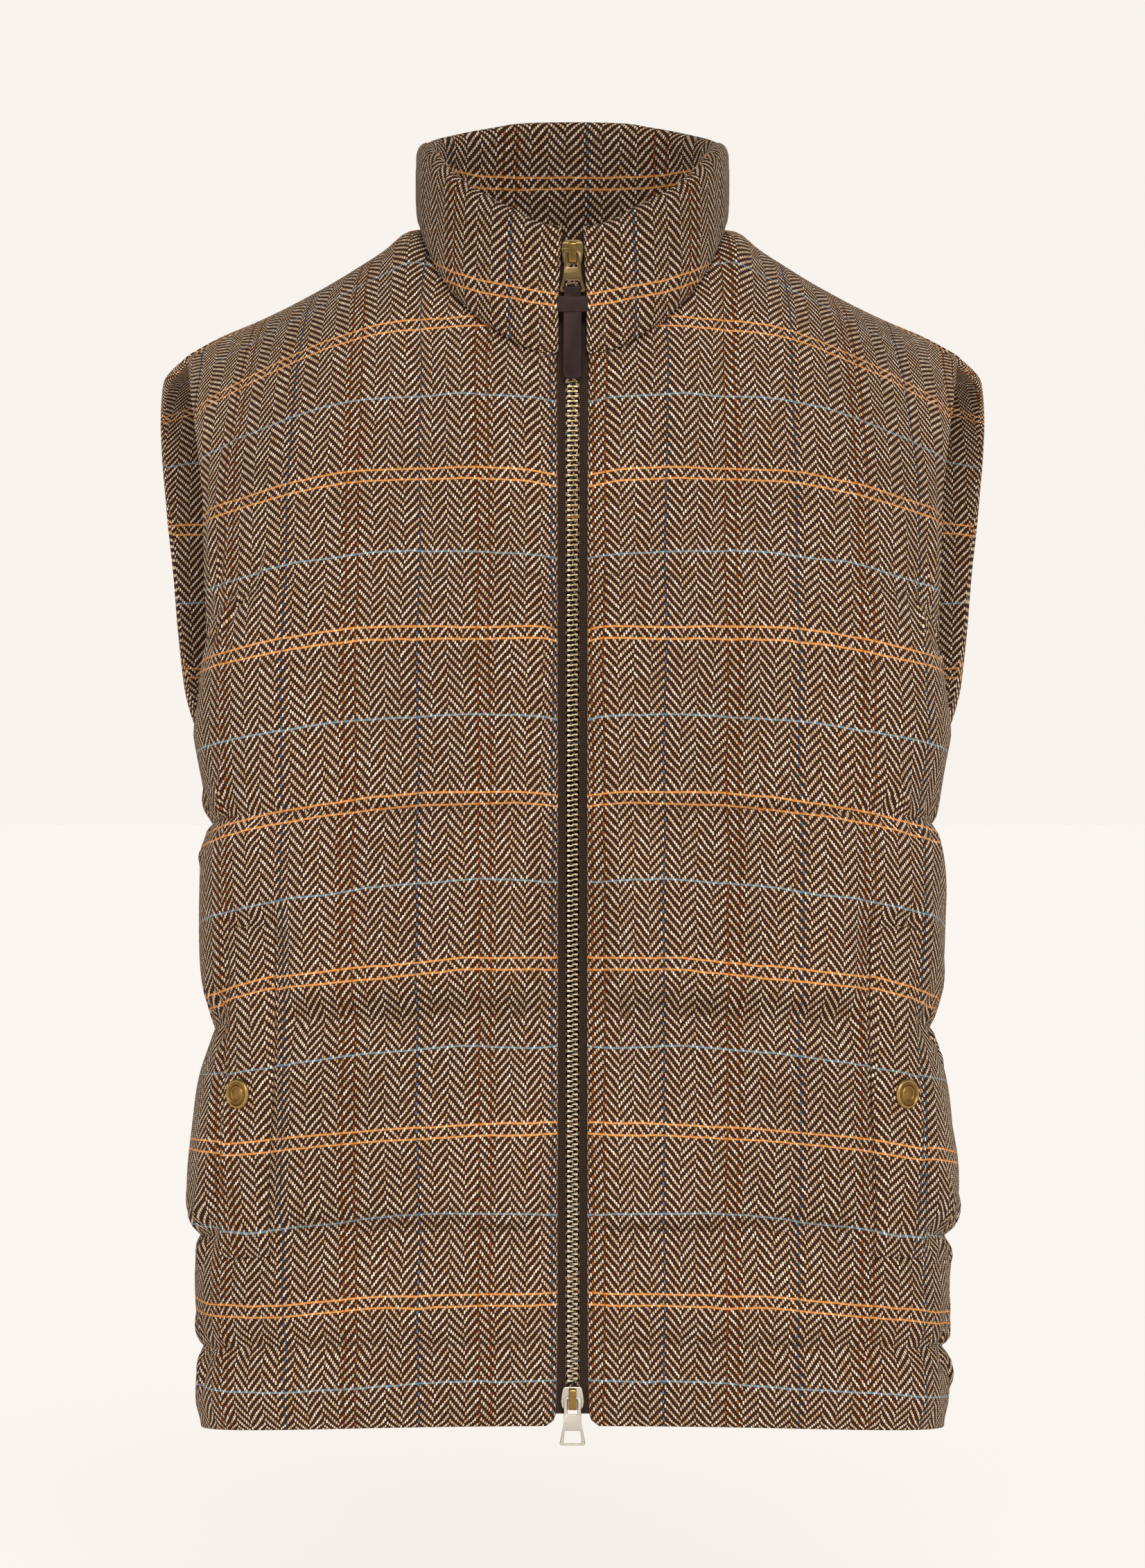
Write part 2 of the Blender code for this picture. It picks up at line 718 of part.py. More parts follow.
def flat_piece(name, outlines, thickness, paint):
    """A 2D outline, holes included, given a thickness and made a closed mesh."""
    data = bpy.data.curves.new(name, "CURVE")
    data.dimensions = "2D"
    data.fill_mode = "BOTH"
    data.extrude = thickness / 2
    for outline in outlines:
        line = data.splines.new("POLY")
        line.points.add(len(outline) - 1)
        for point, (x, y) in zip(line.points, outline):
            point.co = (x, y, 0.0, 1.0)
        line.use_cyclic_u = True
    source = bpy.data.objects.new(name + "_outline", data)
    bpy.context.scene.collection.objects.link(source)
    bpy.context.view_layer.update()
    graph = bpy.context.evaluated_depsgraph_get()
    mesh = bpy.data.meshes.new_from_object(source.evaluated_get(graph))
    bpy.data.objects.remove(source, do_unlink=True)
    bm = bmesh.new()
    bm.from_mesh(mesh)
    bmesh.ops.remove_doubles(bm, verts=bm.verts, dist=0.00002)
    bmesh.ops.recalc_face_normals(bm, faces=bm.faces)
    bm.to_mesh(mesh)
    bm.free()
    mesh.materials.clear()
    mesh.materials.append(paint)
    return mesh


def rounded(points, radius, steps=4):
    """Polygon with its corners rounded."""
    made = []
    total = len(points)
    for k in range(total):
        corner = Vector(points[k])
        before = (Vector(points[k - 1]) - corner)
        after = (Vector(points[(k + 1) % total]) - corner)
        reach = min(radius, before.length * 0.45, after.length * 0.45)
        start = corner + before.normalized() * reach
        end = corner + after.normalized() * reach
        for step in range(steps + 1):
            t = step / steps
            place = start * (1 - t) ** 2 + corner * (2 * t * (1 - t)) + end * t ** 2
            made.append((place.x, place.y))
    return made


def both_sides(half):
    """Closed outline from its right half, listed top to bottom."""
    return half + [(-x, y) for x, y in reversed(half)]


# Tab outline, (half width, distance below the pivot)
TAB_OUTLINE = both_sides([
    (0.0047, 0.0005), (0.0046, -0.0070), (0.0051, -0.0130), (0.0066, -0.0205), (0.0071, -0.0224)])
TAB_WINDOW = [(0.0030, -0.0005), (0.0030, -0.0090), (-0.0030, -0.0090), (-0.0030, -0.0005)]
TAB_EYE = [(0.0045, -0.0158), (0.0053, -0.0216), (-0.0053, -0.0216), (-0.0045, -0.0158)]


# The bottom tab is longer below its window than the top one
BOTTOM_STRETCH = 1.28


def stretched(points, stretch):
    low = TAB_WINDOW[1][1]
    return [(x, low + (y - low) * stretch if y < low else y) for x, y in points]


def tab(name, pivot, paint, stretch=1.0):
    mesh = flat_piece(name, [rounded(stretched(TAB_OUTLINE, stretch), 0.0014), rounded(TAB_WINDOW, 0.0009),
                             rounded(stretched(TAB_EYE, stretch), 0.0013)], TAB_WALL, paint)
    obj = put(name, mesh, 35.0)
    obj.location = pivot
    obj.rotation_euler = (math.radians(90.0), 0.0, 0.0)
    return obj


def cut_free(name, mesh, place):
    """A helper solid that another piece is joined with."""
    obj = bpy.data.objects.new(name, mesh)
    cutters.objects.link(obj)
    obj.matrix_world = place
    obj.hide_render = True
    obj.display_type = "WIRE"
    return obj


def block_mesh(name, low, high, bevel=0.0):
    bm = bmesh.new()
    bmesh.ops.create_cube(bm, size=1.0)
    size = Vector(high) - Vector(low)
    centre = (Vector(high) + Vector(low)) / 2
    bmesh.ops.scale(bm, vec=size, verts=bm.verts)
    bmesh.ops.translate(bm, vec=centre, verts=bm.verts)
    if bevel:
        bmesh.ops.bevel(bm, geom=list(bm.edges), offset=bevel, segments=2, affect="EDGES", profile=0.5)
    mesh = bpy.data.meshes.new(name)
    bm.to_mesh(mesh)
    bm.free()
    return mesh


def join(target, helper):
    step = target.modifiers.new("join " + helper.name, "BOOLEAN")
    step.operation = "UNION"
    step.solver = "EXACT"
    step.object = helper


# Slider plate outline for the top slider, (half width, height from its pivot); wide end up
PLATE_OUTLINE = [(0.0036, 0.0068), (0.0058, 0.0054), (0.0064, 0.0022), (0.0060, -0.0020), (0.0050, -0.0062)]


def slider(name, pivot_z, wide_up, paint):
    """Front plate, side flanges hooked round the chain and a bridge over the pivot."""
    turn = 1.0 if wide_up else -1.0
    y = centre_y(pivot_z)
    half = [(x, z * turn) for x, z in PLATE_OUTLINE]
    if not wide_up:
        half = list(reversed(half))
    plate = flat_piece(name, [rounded(both_sides(half), 0.0012)], PLATE_FRONT - PLATE_BACK, paint)
    obj = put(name, plate, 35.0)
    obj.location = (0.0, y - (PLATE_FRONT + PLATE_BACK) / 2, pivot_z)
    obj.rotation_euler = (math.radians(90.0), 0.0, 0.0)
    for side in (-1, 1):
        low = (min(side * 0.0041, side * 0.0056), y - PLATE_BACK - 0.0008, pivot_z - 0.0055)
        high = (max(side * 0.0041, side * 0.0056), y - 0.0001, pivot_z + 0.0048)
        flange = block_mesh(name + "_flange", low, high)
        join(obj, cut_free(name + "_flange" + ("_a" if side < 0 else "_b"), flange, Matrix()))
    # Bridge side view: (distance in front of the inside, height from the pivot)
    foot = PLATE_FRONT - 0.0008
    top = BRIDGE_FRONT
    arch = [(foot, 0.0056), (top - 0.0010, 0.0056), (top, 0.0044), (top, -0.0052), (top - 0.0010, -0.0064),
            (foot, -0.0064), (foot, -0.0050), (top - 0.0012, -0.0050), (top - 0.0012, 0.0042), (foot, 0.0042)]
    side_view = flat_piece(name + "_bridge", [arch], BRIDGE_HALF * 2, paint)
    join(obj, cut_free(name + "_bridge", side_view, side_matrix(y, pivot_z)))
    return obj, y


def side_matrix(y, z):
    """Stands an outline in the side view: its x runs forward, its y up, its thickness across."""
    return Matrix(((0.0, 0.0, 1.0, 0.0), (-1.0, 0.0, 0.0, y), (0.0, 1.0, 0.0, z), (0.0, 0.0, 0.0, 1.0)))


top_slider, top_y = slider("top_slider", TOP_PIVOT_Z, True, old_brass)
bottom_slider, bottom_y = slider("bottom_slider", BOTTOM_PIVOT_Z, False, old_brass)
tab("top_tab", (0.0, top_y - TAB_PIVOT, TOP_PIVOT_Z), old_brass)
tab("bottom_tab", (0.0, bottom_y - TAB_PIVOT, BOTTOM_PIVOT_Z), pale_brass, BOTTOM_STRETCH)

# Leather pull: a loop through the tab's eye, a keeper and a strap
EYE_BAR_Z = TOP_PIVOT_Z - 0.0220
LEATHER_Y = top_y - TAB_PIVOT
LEATHER_LEAN = 2.0           # degrees that the strap stands off the plumb line, against the chest


def leather_pull():
    eye = Matrix.Translation((0.0, LEATHER_Y, EYE_BAR_Z))
    lean = eye @ Matrix.Rotation(math.radians(-LEATHER_LEAN), 4, "X")
    # Loop seen from the side, round the tab's lower bar
    loop = [(0.0021, 0.0029), (0.0021, -0.0060), (-0.0021, -0.0060), (-0.0021, 0.0029)]
    loop_hole = [(0.0011, 0.0017), (0.0011, -0.0016), (-0.0011, -0.0016), (-0.0011, 0.0017)]
    side_view = flat_piece("leather_pull", [rounded(loop, 0.0016), rounded(loop_hole, 0.0004)],
                           0.0092, dark_leather)
    obj = put("leather_pull", side_view, 35.0)
    obj.matrix_world = lean @ side_matrix(0.0, 0.0)
    keeper = block_mesh("leather_keeper", (-0.0087, -0.0022, -0.0118), (0.0087, 0.0022, -0.0026), 0.0011)
    join(obj, cut_free("leather_keeper", keeper, lean))
    strap_outline = both_sides([(LEATHER_HALF, -0.0100), (LEATHER_HALF, -0.0490)])
    strap = flat_piece("leather_strap", [rounded(strap_outline, 0.0030)], 0.0026, dark_leather)
    stand = Matrix.Translation((0.0, -0.0002, 0.0)) @ Matrix.Rotation(math.radians(90.0), 4, "X")
    join(obj, cut_free("leather_strap", strap, lean @ stand))
    return obj


leather_pull()


# Pocket welts: on the front panel's own points, moved out

def welt_cells():
    rows = [i for i, h in enumerate(ROW_HEIGHTS) if WELT_BOTTOM - 1e-6 <= h <= WELT_TOP + 1e-6]
    columns = [len(EDGE_COLUMNS) + FRONT_COLUMNS.index(share) for share in WELT_COLUMNS]
    return rows, columns


def welt(name, mirror):
    rows, columns = welt_cells()
    inner = []
    outer = []
    for i in rows:
        inner.append([front_outer[i][j] + front_normals[i][j] * (GAP + 0.0001) for j in columns])
        outer.append([front_outer[i][j] + front_normals[i][j] * (GAP + 0.0001 + WELT_WALL) for j in columns])
    if mirror:
        inner = mirrored(inner)
        outer = mirrored(outer)
    return outer, wall_mesh(name, inner, outer, tweed_edge,
                            {"low": 0.0006, "high": 0.0006, "first": none, "last": none}, turned=mirror)


welt_outer, left_welt = welt("pocket_welt_left", False)
welt("pocket_welt_right", True)


# Snaps: turned caps standing on the welts

def between(low, high, share):
    return low + (high - low) * share


def snap_place():
    """Snap's foot on the left welt, and the way it faces."""
    rows, columns = welt_cells()
    low = max(k for k in range(len(rows) - 1) if ROW_HEIGHTS[rows[k]] <= SNAP_Z)
    rise = (SNAP_Z - ROW_HEIGHTS[rows[low]]) / (ROW_HEIGHTS[rows[low + 1]] - ROW_HEIGHTS[rows[low]])
    spots = [between(welt_outer[low][k], welt_outer[low + 1][k], rise) for k in (1, 2)]
    here = between(spots[0], spots[1], SNAP_ASIDE)
    normals = [front_normals[rows[low]][columns[k]] for k in (1, 2)]
    direction = between(normals[0], normals[1], SNAP_ASIDE)
    flat = Vector((direction.x, direction.y, direction.z * 0.4)).normalized()
    aside = flat.cross(Vector((0.0, 0.0, 1.0))).normalized()
    up = aside.cross(flat)
    tree = tree_of([left_welt])
    heights = []
    for step in range(96):
        turn = 2 * math.pi * (step % 32) / 32
        reach = SNAP_RADIUS * (1 + step // 32) / 3
        at = here + aside * (reach * math.cos(turn)) + up * (reach * math.sin(turn)) + flat * 0.02
        hit = tree.ray_cast(at, -flat, 0.04)[0]
        if hit is not None:
            heights.append((hit - here).dot(flat))
    return here + flat * (max(heights) + GAP), flat


# Snap cap's profile from the middle of its face round the rim to the middle of its foot
SNAP_PROFILE = [
    (0.0, 0.0025),
    (0.0036, 0.0024),
    (0.0040, 0.0021),
    (0.0064, 0.0020),
    (0.0069, 0.0025),
    (0.0078, 0.0024),
    (SNAP_RADIUS, 0.0017),
    (SNAP_RADIUS, 0.0007),
    (0.0078, 0.0),
    (0.0, 0.0),
]


def snap(name, mirror):
    place, direction = snap_place()
    if mirror:
        place = Vector((-place.x, place.y, place.z))
        direction = Vector((-direction.x, direction.y, direction.z))
    mesh = bpy.data.meshes.new(name)
    edges = [(k, k + 1) for k in range(len(SNAP_PROFILE) - 1)]
    mesh.from_pydata([(radius, 0.0, height) for radius, height in SNAP_PROFILE], edges, [])
    mesh.materials.append(old_brass)
    obj = bpy.data.objects.new(name, mesh)
    vest.objects.link(obj)
    turn = obj.modifiers.new("turn", "SCREW")
    turn.axis = "Z"
    turn.angle = 2 * math.pi
    turn.steps = 28
    turn.render_steps = 28
    turn.use_merge_vertices = True
    turn.merge_threshold = 0.00005
    turn.use_smooth_shade = True
    obj.rotation_mode = "QUATERNION"
    obj.rotation_quaternion = Vector((0.0, 0.0, 1.0)).rotation_difference(direction)
    obj.location = place
    return obj


snap("snap_left", False)
snap("snap_right", True)
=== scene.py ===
import math

import bmesh
import bpy
import numpy as np
from mathutils import Matrix, Vector
from mathutils.bvhtree import BVHTree


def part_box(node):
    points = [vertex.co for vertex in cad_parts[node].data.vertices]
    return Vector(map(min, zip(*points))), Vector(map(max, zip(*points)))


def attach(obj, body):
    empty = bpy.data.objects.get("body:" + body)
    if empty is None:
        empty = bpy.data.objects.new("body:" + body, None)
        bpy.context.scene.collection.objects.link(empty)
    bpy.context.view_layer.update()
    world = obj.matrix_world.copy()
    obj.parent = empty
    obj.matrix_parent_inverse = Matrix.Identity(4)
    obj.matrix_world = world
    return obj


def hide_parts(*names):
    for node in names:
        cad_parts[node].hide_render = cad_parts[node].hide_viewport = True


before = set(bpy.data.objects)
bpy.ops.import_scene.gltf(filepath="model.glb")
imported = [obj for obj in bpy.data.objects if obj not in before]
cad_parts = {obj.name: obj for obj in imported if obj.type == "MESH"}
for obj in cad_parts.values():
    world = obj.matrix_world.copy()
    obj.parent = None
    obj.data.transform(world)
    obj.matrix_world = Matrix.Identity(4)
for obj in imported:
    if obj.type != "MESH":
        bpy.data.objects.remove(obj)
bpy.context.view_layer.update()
print("frame loaded")

# Camera, floor and lights

cameraView = {
    "place": (0.0, -3.0, -0.300),
    "turn": (math.radians(90.0), 0.0, 0.0),
    "lens": 119.3,
    "sensor": 36.0,
    "clipEnd": 200.0,
}


def placed(name, data):
    made = bpy.data.objects.new(name, data)
    bpy.context.scene.collection.objects.link(made)
    return made


def dial(node, values):
    for key, value in values.items():
        node.inputs[key].default_value = value


cameraData = bpy.data.cameras.new("frontCamera")
cameraData.sensor_fit = "VERTICAL"
cameraData.sensor_height = cameraView["sensor"]
cameraData.lens = cameraView["lens"]
cameraData.clip_end = cameraView["clipEnd"]
frontCamera = placed("frontCamera", cameraData)
frontCamera.location = cameraView["place"]
frontCamera.rotation_euler = cameraView["turn"]
bpy.context.scene.camera = frontCamera

studio = {
    "paleTone": (0.938, 0.893, 0.842),
    "ambient": 0.16,             # how much of the pale tone lights the vest
    "floorZ": -0.80,
    "floorRadius": 60.0,
    "floorColour": (0.12, 0.115, 0.109),
    "floorGlow": 0.925,
    "suns": {                    # where each comes from, strength, angle
        "keyLight": ((0.10, -1.0, 0.86), 2.10, 26.0),
        "leftLight": ((-1.0, -0.58, 0.06), 1.00, 50.0),
        "rightLight": ((1.0, -0.58, 0.06), 0.88, 50.0),
        "backLight": ((0.25, 0.90, 0.55), 0.60, 50.0),
    },
    "lowEnergy": 1.3,            # a wide lamp in front of the hem
    "lowPlace": (0.0, -1.05, -0.56),
    "lowSize": (1.7, 0.4),
}

bpy.context.scene.view_settings.view_transform = "Standard"

world = bpy.data.worlds.new("paleStudio")
world.use_nodes = True
worldShade = world.node_tree.nodes["Background"]
dial(worldShade, {"Color": (*studio["paleTone"], 1.0)})
worldPath = world.node_tree.nodes.new("ShaderNodeLightPath")
worldLevel = world.node_tree.nodes.new("ShaderNodeMapRange")
dial(worldLevel, {"To Min": studio["ambient"], "To Max": 1.0})
world.node_tree.links.new(worldPath.outputs["Is Camera Ray"], worldLevel.inputs["Value"])
world.node_tree.links.new(worldLevel.outputs["Result"], worldShade.inputs["Strength"])
bpy.context.scene.world = world

for sunName, (comesFrom, strength, angle) in studio["suns"].items():
    sun = bpy.data.lights.new(sunName, "SUN")
    sun.energy = strength
    sun.angle = math.radians(angle)
    placed(sunName, sun).rotation_euler = (-Vector(comesFrom)).to_track_quat("-Z", "Y").to_euler()

lowData = bpy.data.lights.new("lowLight", "AREA")
lowData.shape = "RECTANGLE"
lowData.size, lowData.size_y = studio["lowSize"]
lowData.energy = studio["lowEnergy"]
lowLight = placed("lowLight", lowData)
lowLight.location = studio["lowPlace"]
lowLight.rotation_euler = cameraView["turn"]
lowLight.visible_camera = False


def meshOf(name, bm, *materials, angle=None):
    mesh = bpy.data.meshes.new(name)
    bm.to_mesh(mesh)
    bm.free()
    for material in materials:
        mesh.materials.append(material)
    if angle:
        mesh.shade_smooth()
        mesh.set_sharp_from_angle(angle=math.radians(angle))
    return mesh


def paleFloor():
    paint = bpy.data.materials.new("palePaper")
    paint.use_nodes = True
    dial(paint.node_tree.nodes["Principled BSDF"], {
        "Base Color": (*studio["floorColour"], 1.0), "Roughness": 1.0, "Specular IOR Level": 0.0,
        "Emission Color": (*studio["paleTone"], 1.0), "Emission Strength": studio["floorGlow"]})
    bm = bmesh.new()
    bmesh.ops.create_circle(bm, cap_ends=True, radius=studio["floorRadius"], segments=64)
    bmesh.ops.translate(bm, vec=(0.0, 0.0, studio["floorZ"]), verts=bm.verts)
    placed("paleFloor", meshOf("paleFloor", bm, paint))


paleFloor()
print("camera and studio set")

# Materials


class NodeBench:
    def __init__(self, name, settings):
        self.material = bpy.data.materials.new(name)
        self.material.use_nodes = True
        self.tree = self.material.node_tree
        self.shader = self.tree.nodes["Principled BSDF"]
        dial(self.shader, settings)

    def plug(self, value, socket):
        if isinstance(value, bpy.types.NodeSocket):
            self.tree.links.new(value, socket)
        else:
            socket.default_value = value

    def add(self, kind, inputs=None, **settings):
        node = self.tree.nodes.new(kind)
        for key, value in settings.items():
            setattr(node, key, value)
        for key, value in (inputs or {}).items():
            self.plug(value, node.inputs[key])
        return node

    def math(self, operation, *values):
        return self.add("ShaderNodeMath", dict(enumerate(values)), operation=operation).outputs[0]

    def mix(self, share, first, second):
        first, second = (tone if isinstance(tone, bpy.types.NodeSocket) else (*tone, 1.0)
                         for tone in (first, second))
        return self.add("ShaderNodeMix", {"Factor": share, 6: first, 7: second}, data_type="RGBA").outputs[2]

    def spread(self, value, low, high, fromLow=0.0, fromHigh=1.0, **settings):
        return self.add("ShaderNodeMapRange", {
            "Value": value, "From Min": fromLow, "From Max": fromHigh, "To Min": low, "To Max": high,
        }, **settings).outputs["Result"]

    def noise(self, vector, scale, detail=3.0, roughness=0.55):
        return self.add("ShaderNodeTexNoise", {
            "Vector": vector, "Scale": scale, "Detail": detail, "Roughness": roughness}).outputs["Fac"]

    def objectPlace(self):
        return self.add("ShaderNodeTexCoord").outputs["Object"]

    def edge(self):
        return self.add("ShaderNodeNewGeometry").outputs["Pointiness"]

    def split(self, vector):
        return self.add("ShaderNodeSeparateXYZ", {0: vector}).outputs

    def bump(self, height, distance, strength):
        return self.add("ShaderNodeBump", {
            "Distance": distance, "Strength": strength, "Height": height}).outputs["Normal"]

    def finish(self, colour, roughness, normal):
        for value, name in ((colour, "Base Color"), (roughness, "Roughness"), (normal, "Normal")):
            self.plug(value, self.shader.inputs[name])
        return self.material


tweedWeave = {
    "warpPitch": 0.001069,
    "weftPitch": 0.0013,
    "repeat": 4.0,               # wefts from one float of a warp to the next
    "floatWefts": 1.85,
    "armWarps": 8.0,             # warps in each arm of the chevron
    "checkWarps": 69.0,          # warps from one overcheck line to the next of its colour
    "checkWefts": 71.0,
    "pairGap": 6.0,              # threads from one line of an orange pair to the other
    "pairGapAcross": 5.0,
    "strays": [(55.0, 2.0, 0.0016, 0.0020), (13.0, 1.0, -0.0050, 0.0060)],
    "twist": 0.22,
    "floatEdge": (0.20, 0.52),
    "lightYarn": (0.70, 0.490, 0.302),
    "creamYarn": (0.97, 0.815, 0.62),
    "strawYarn": (0.60, 0.360, 0.140),
    "umberYarn": (0.21, 0.115, 0.066),
    "darkYarn": (0.019, 0.0052, 0.0034),
    "brownYarn": (0.052, 0.0185, 0.0118),
    "orangeYarn": (0.66, 0.215, 0.028),
    "rustYarn": (0.44, 0.130, 0.020),
    "blueYarn": (0.100, 0.195, 0.275),
    "pit": (0.012, 0.006, 0.004),
    "fibre": (0.42, 0.31, 0.19),
    "relief": 0.00035,
    "surface": {"Roughness": 0.9, "Specular IOR Level": 0.10, "Sheen Weight": 0.035,
                "Sheen Roughness": 0.45, "Sheen Tint": (0.95, 0.86, 0.72, 1.0)},
}


def tweedMaterial(name, orangeWarp, orangeWeft, paintedLightLevel=1.0, blueRows=True):
    w = tweedWeave
    b = NodeBench(name, w["surface"])
    m = b.math

    def hump(at, power):
        # 1 halfway from 0 to 1, falling to 0 at both
        away = m("ABSOLUTE", m("MULTIPLY_ADD", at, 2.0, -1.0))
        return m("SUBTRACT", 1.0, m("POWER", away, power))

    def overcheck(at, first, repeat, gap):
        place = m("FLOORED_MODULO", m("SUBTRACT", at, first), repeat)
        one, other, blue = (m("COMPARE", place, number, 0.5)
                            for number in (0.0, gap, math.floor((repeat + gap) / 2)))
        return m("ADD", one, other), blue

    uv = b.add("ShaderNodeUVMap", uv_map="cloth").outputs[0]
    u, v, _ = b.split(uv)
    for scale, detail, strayU, strayV in w["strays"]:
        stray = m("SUBTRACT", b.noise(uv, scale, detail), 0.5)
        u = m("MULTIPLY_ADD", stray, strayU, u)
        v = m("MULTIPLY_ADD", stray, strayV, v)
    warps = m("DIVIDE", u, w["warpPitch"])
    wefts = m("DIVIDE", v, w["weftPitch"])
    warp = m("FLOOR", warps)
    # the twill lines break where the arms turn
    arm = m("FLOOR", m("DIVIDE", warp, w["armWarps"]))
    lean = m("ADD", m("FLOORED_MODULO", arm, 2.0), m("PINGPONG", warp, w["armWarps"]))
    ladder = m("ADD", wefts, lean)
    along = m("DIVIDE", m("FLOORED_MODULO", ladder, w["repeat"]), w["floatWefts"])
    # a warp float: full in the middle, closed at its ends, leaning a little with its twist
    side = m("MULTIPLY_ADD", m("SUBTRACT", along, 0.5), w["twist"], m("FRACT", warps))
    shape = m("MULTIPLY", m("MAXIMUM", hump(side, 2.2), 0.0), m("MAXIMUM", hump(along, 3.0), 0.0))
    floatMask = b.spread(shape, 0.0, 1.0, *w["floatEdge"], interpolation_type="SMOOTHSTEP")
    # each float has its own tone
    rung = m("FLOOR", m("DIVIDE", ladder, w["repeat"]))
    spot = b.add("ShaderNodeCombineXYZ", {0: warp, 1: rung}).outputs[0]
    tone = b.add("ShaderNodeTexWhiteNoise", {"Vector": spot}, noise_dimensions="2D").outputs["Value"]
    light = b.mix(b.spread(tone, 0.0, 1.0, 0.50, 1.0), w["lightYarn"], w["creamYarn"])
    light = b.mix(b.spread(tone, 0.85, 0.0, 0.0, 0.26), light, w["strawYarn"])
    light = b.mix(b.spread(b.noise(uv, 420.0, 2.0), 0.0, 0.55, 0.48, 0.72), light, w["umberYarn"])
    fuzz = b.noise(uv, 2600.0, 2.0, 0.7)
    dark = b.mix(fuzz, w["darkYarn"], w["brownYarn"])
    orangeUp, blueUp = overcheck(warp, orangeWarp, w["checkWarps"], w["pairGap"])
    orangeAcross, blueAcross = overcheck(m("FLOOR", wefts), orangeWeft, w["checkWefts"], w["pairGapAcross"])
    warpColour = b.mix(blueUp, b.mix(orangeUp, light, w["rustYarn"]), w["blueYarn"])
    weftColour = b.mix(orangeAcross, dark, w["orangeYarn"])
    if blueRows:
        weftColour = b.mix(blueAcross, weftColour, w["blueYarn"])
    weftRound = hump(m("FRACT", wefts), 2.0)
    weftColour = b.mix(b.spread(weftRound, 0.55, 0.0, 0.0, 0.6), weftColour, w["pit"])
    colour = b.mix(floatMask, weftColour, warpColour)
    colour = b.mix(b.spread(b.noise(uv, 5200.0, 1.0), 0.0, 0.14, 0.55, 0.80), colour, w["fibre"])
    # the patches' value is scaled by the last argument: above 1 a painted light over the whole material,
    # below 1 a painted shade
    patch = b.spread(b.noise(uv, 9.0, 2.0), 0.90 * paintedLightLevel, 1.10 * paintedLightLevel, 0.3, 0.7)
    colour = b.add("ShaderNodeHueSaturation", {"Value": patch, "Color": colour}).outputs[0]
    height = m("ADD", m("MULTIPLY", floatMask, 0.8), m("MULTIPLY", weftRound, 0.28))
    height = m("MULTIPLY_ADD", fuzz, 0.25, height)
    return b.finish(colour, b.spread(fuzz, 0.82, 0.96), b.bump(height, w["relief"], 0.8))


rightFrontTweed = tweedMaterial("rightFrontTweed", 42.0, 52.0)
leftFrontTweed = tweedMaterial("leftFrontTweed", 10.0, 52.0)
# the back's tweed is a lighter copy: painted light, so the inner faces beside the armholes read lighter
backTweed = tweedMaterial("backTweed", 32.0, 52.0, 1.08)
# the collar's tweed is a darker copy: painted shade for the dimmer light high on the vest
collarTweed = tweedMaterial("collarTweed", 62.0, 45.0, 0.84, False)

tapeWeave = {
    "plain": (0.040, 0.020, 0.012),
    "dark": (0.010, 0.005, 0.003),
    "light": (0.15, 0.085, 0.052),
    "ribbedTo": 0.0072,          # the ribbed part ends this far from the centre
    "blend": 0.0002,
    "rib": 0.00115,
    "ribWide": 0.0009,
    "slant": 0.9,
    "relief": 0.00025,
}


def tapeMaterial():
    w = tapeWeave
    b = NodeBench("zipTapeWeave", {"Specular IOR Level": 0.25})
    m = b.math
    place = b.objectPlace()
    x, _, z = b.split(place)
    far = m("ABSOLUTE", x)
    ribbed = b.spread(far, 1.0, 0.0, w["ribbedTo"] - w["blend"], w["ribbedTo"] + w["blend"])
    slant = m("MULTIPLY_ADD", m("PINGPONG", far, w["ribWide"]), w["slant"], z)
    ribs = m("PINGPONG", m("DIVIDE", slant, w["rib"]), 0.5)
    dots = m("MULTIPLY", ribs, m("PINGPONG", m("DIVIDE", far, w["ribWide"]), 0.5))
    dots = b.spread(dots, 0.0, 1.0, 0.05, 0.20)
    grain = b.noise(place, 2400.0, 2.0, 0.7)
    fine = b.mix(grain, *(tuple(c * part for c in w["plain"]) for part in (0.8, 1.35)))
    colour = b.mix(ribbed, fine, b.mix(dots, w["dark"], w["light"]))
    height = m("ADD", m("MULTIPLY", dots, ribbed), m("MULTIPLY", grain, 0.3))
    return b.finish(colour, b.spread(grain, 0.78, 0.92), b.bump(height, w["relief"], 0.8))


zipTapeWeave = tapeMaterial()

metals = {                       # deep, face and edge-highlight colours (a painted highlight on convex edges), roughness, spots
    "antiqueBrass": ((0.030, 0.017, 0.007), (0.085, 0.053, 0.023), (0.60, 0.42, 0.17), 0.42, 0.6),
    "snapBrass": ((0.030, 0.016, 0.006), (0.29, 0.165, 0.045), (0.70, 0.46, 0.16), 0.40, 0.5),
    "toothBrass": ((0.20, 0.12, 0.04), (0.60, 0.43, 0.19), (0.85, 0.68, 0.38), 0.36, 0.25),
    "paleBrass": ((0.30, 0.25, 0.18), (0.56, 0.51, 0.45), (0.80, 0.74, 0.62), 0.42, 0.25),
    "goldBrass": ((0.20, 0.12, 0.035), (0.60, 0.41, 0.15), (0.95, 0.74, 0.38), 0.32, 0.3),
    "darkRimBrass": ((0.060, 0.036, 0.014), (0.20, 0.125, 0.050), (0.34, 0.23, 0.10), 0.45, 0.4),
    "bridgeBrass": ((0.10, 0.055, 0.015), (0.36, 0.225, 0.070), (0.90, 0.74, 0.46), 0.28, 0.35),
}
# the teeth are paler towards the hem: painted light low on the zip, leaving them darker gold in the shade
# under the collar
teethPaintedLight = {"tone": (0.74, 0.66, 0.50), "share": 0.85, "heights": (-0.50, -0.10)}


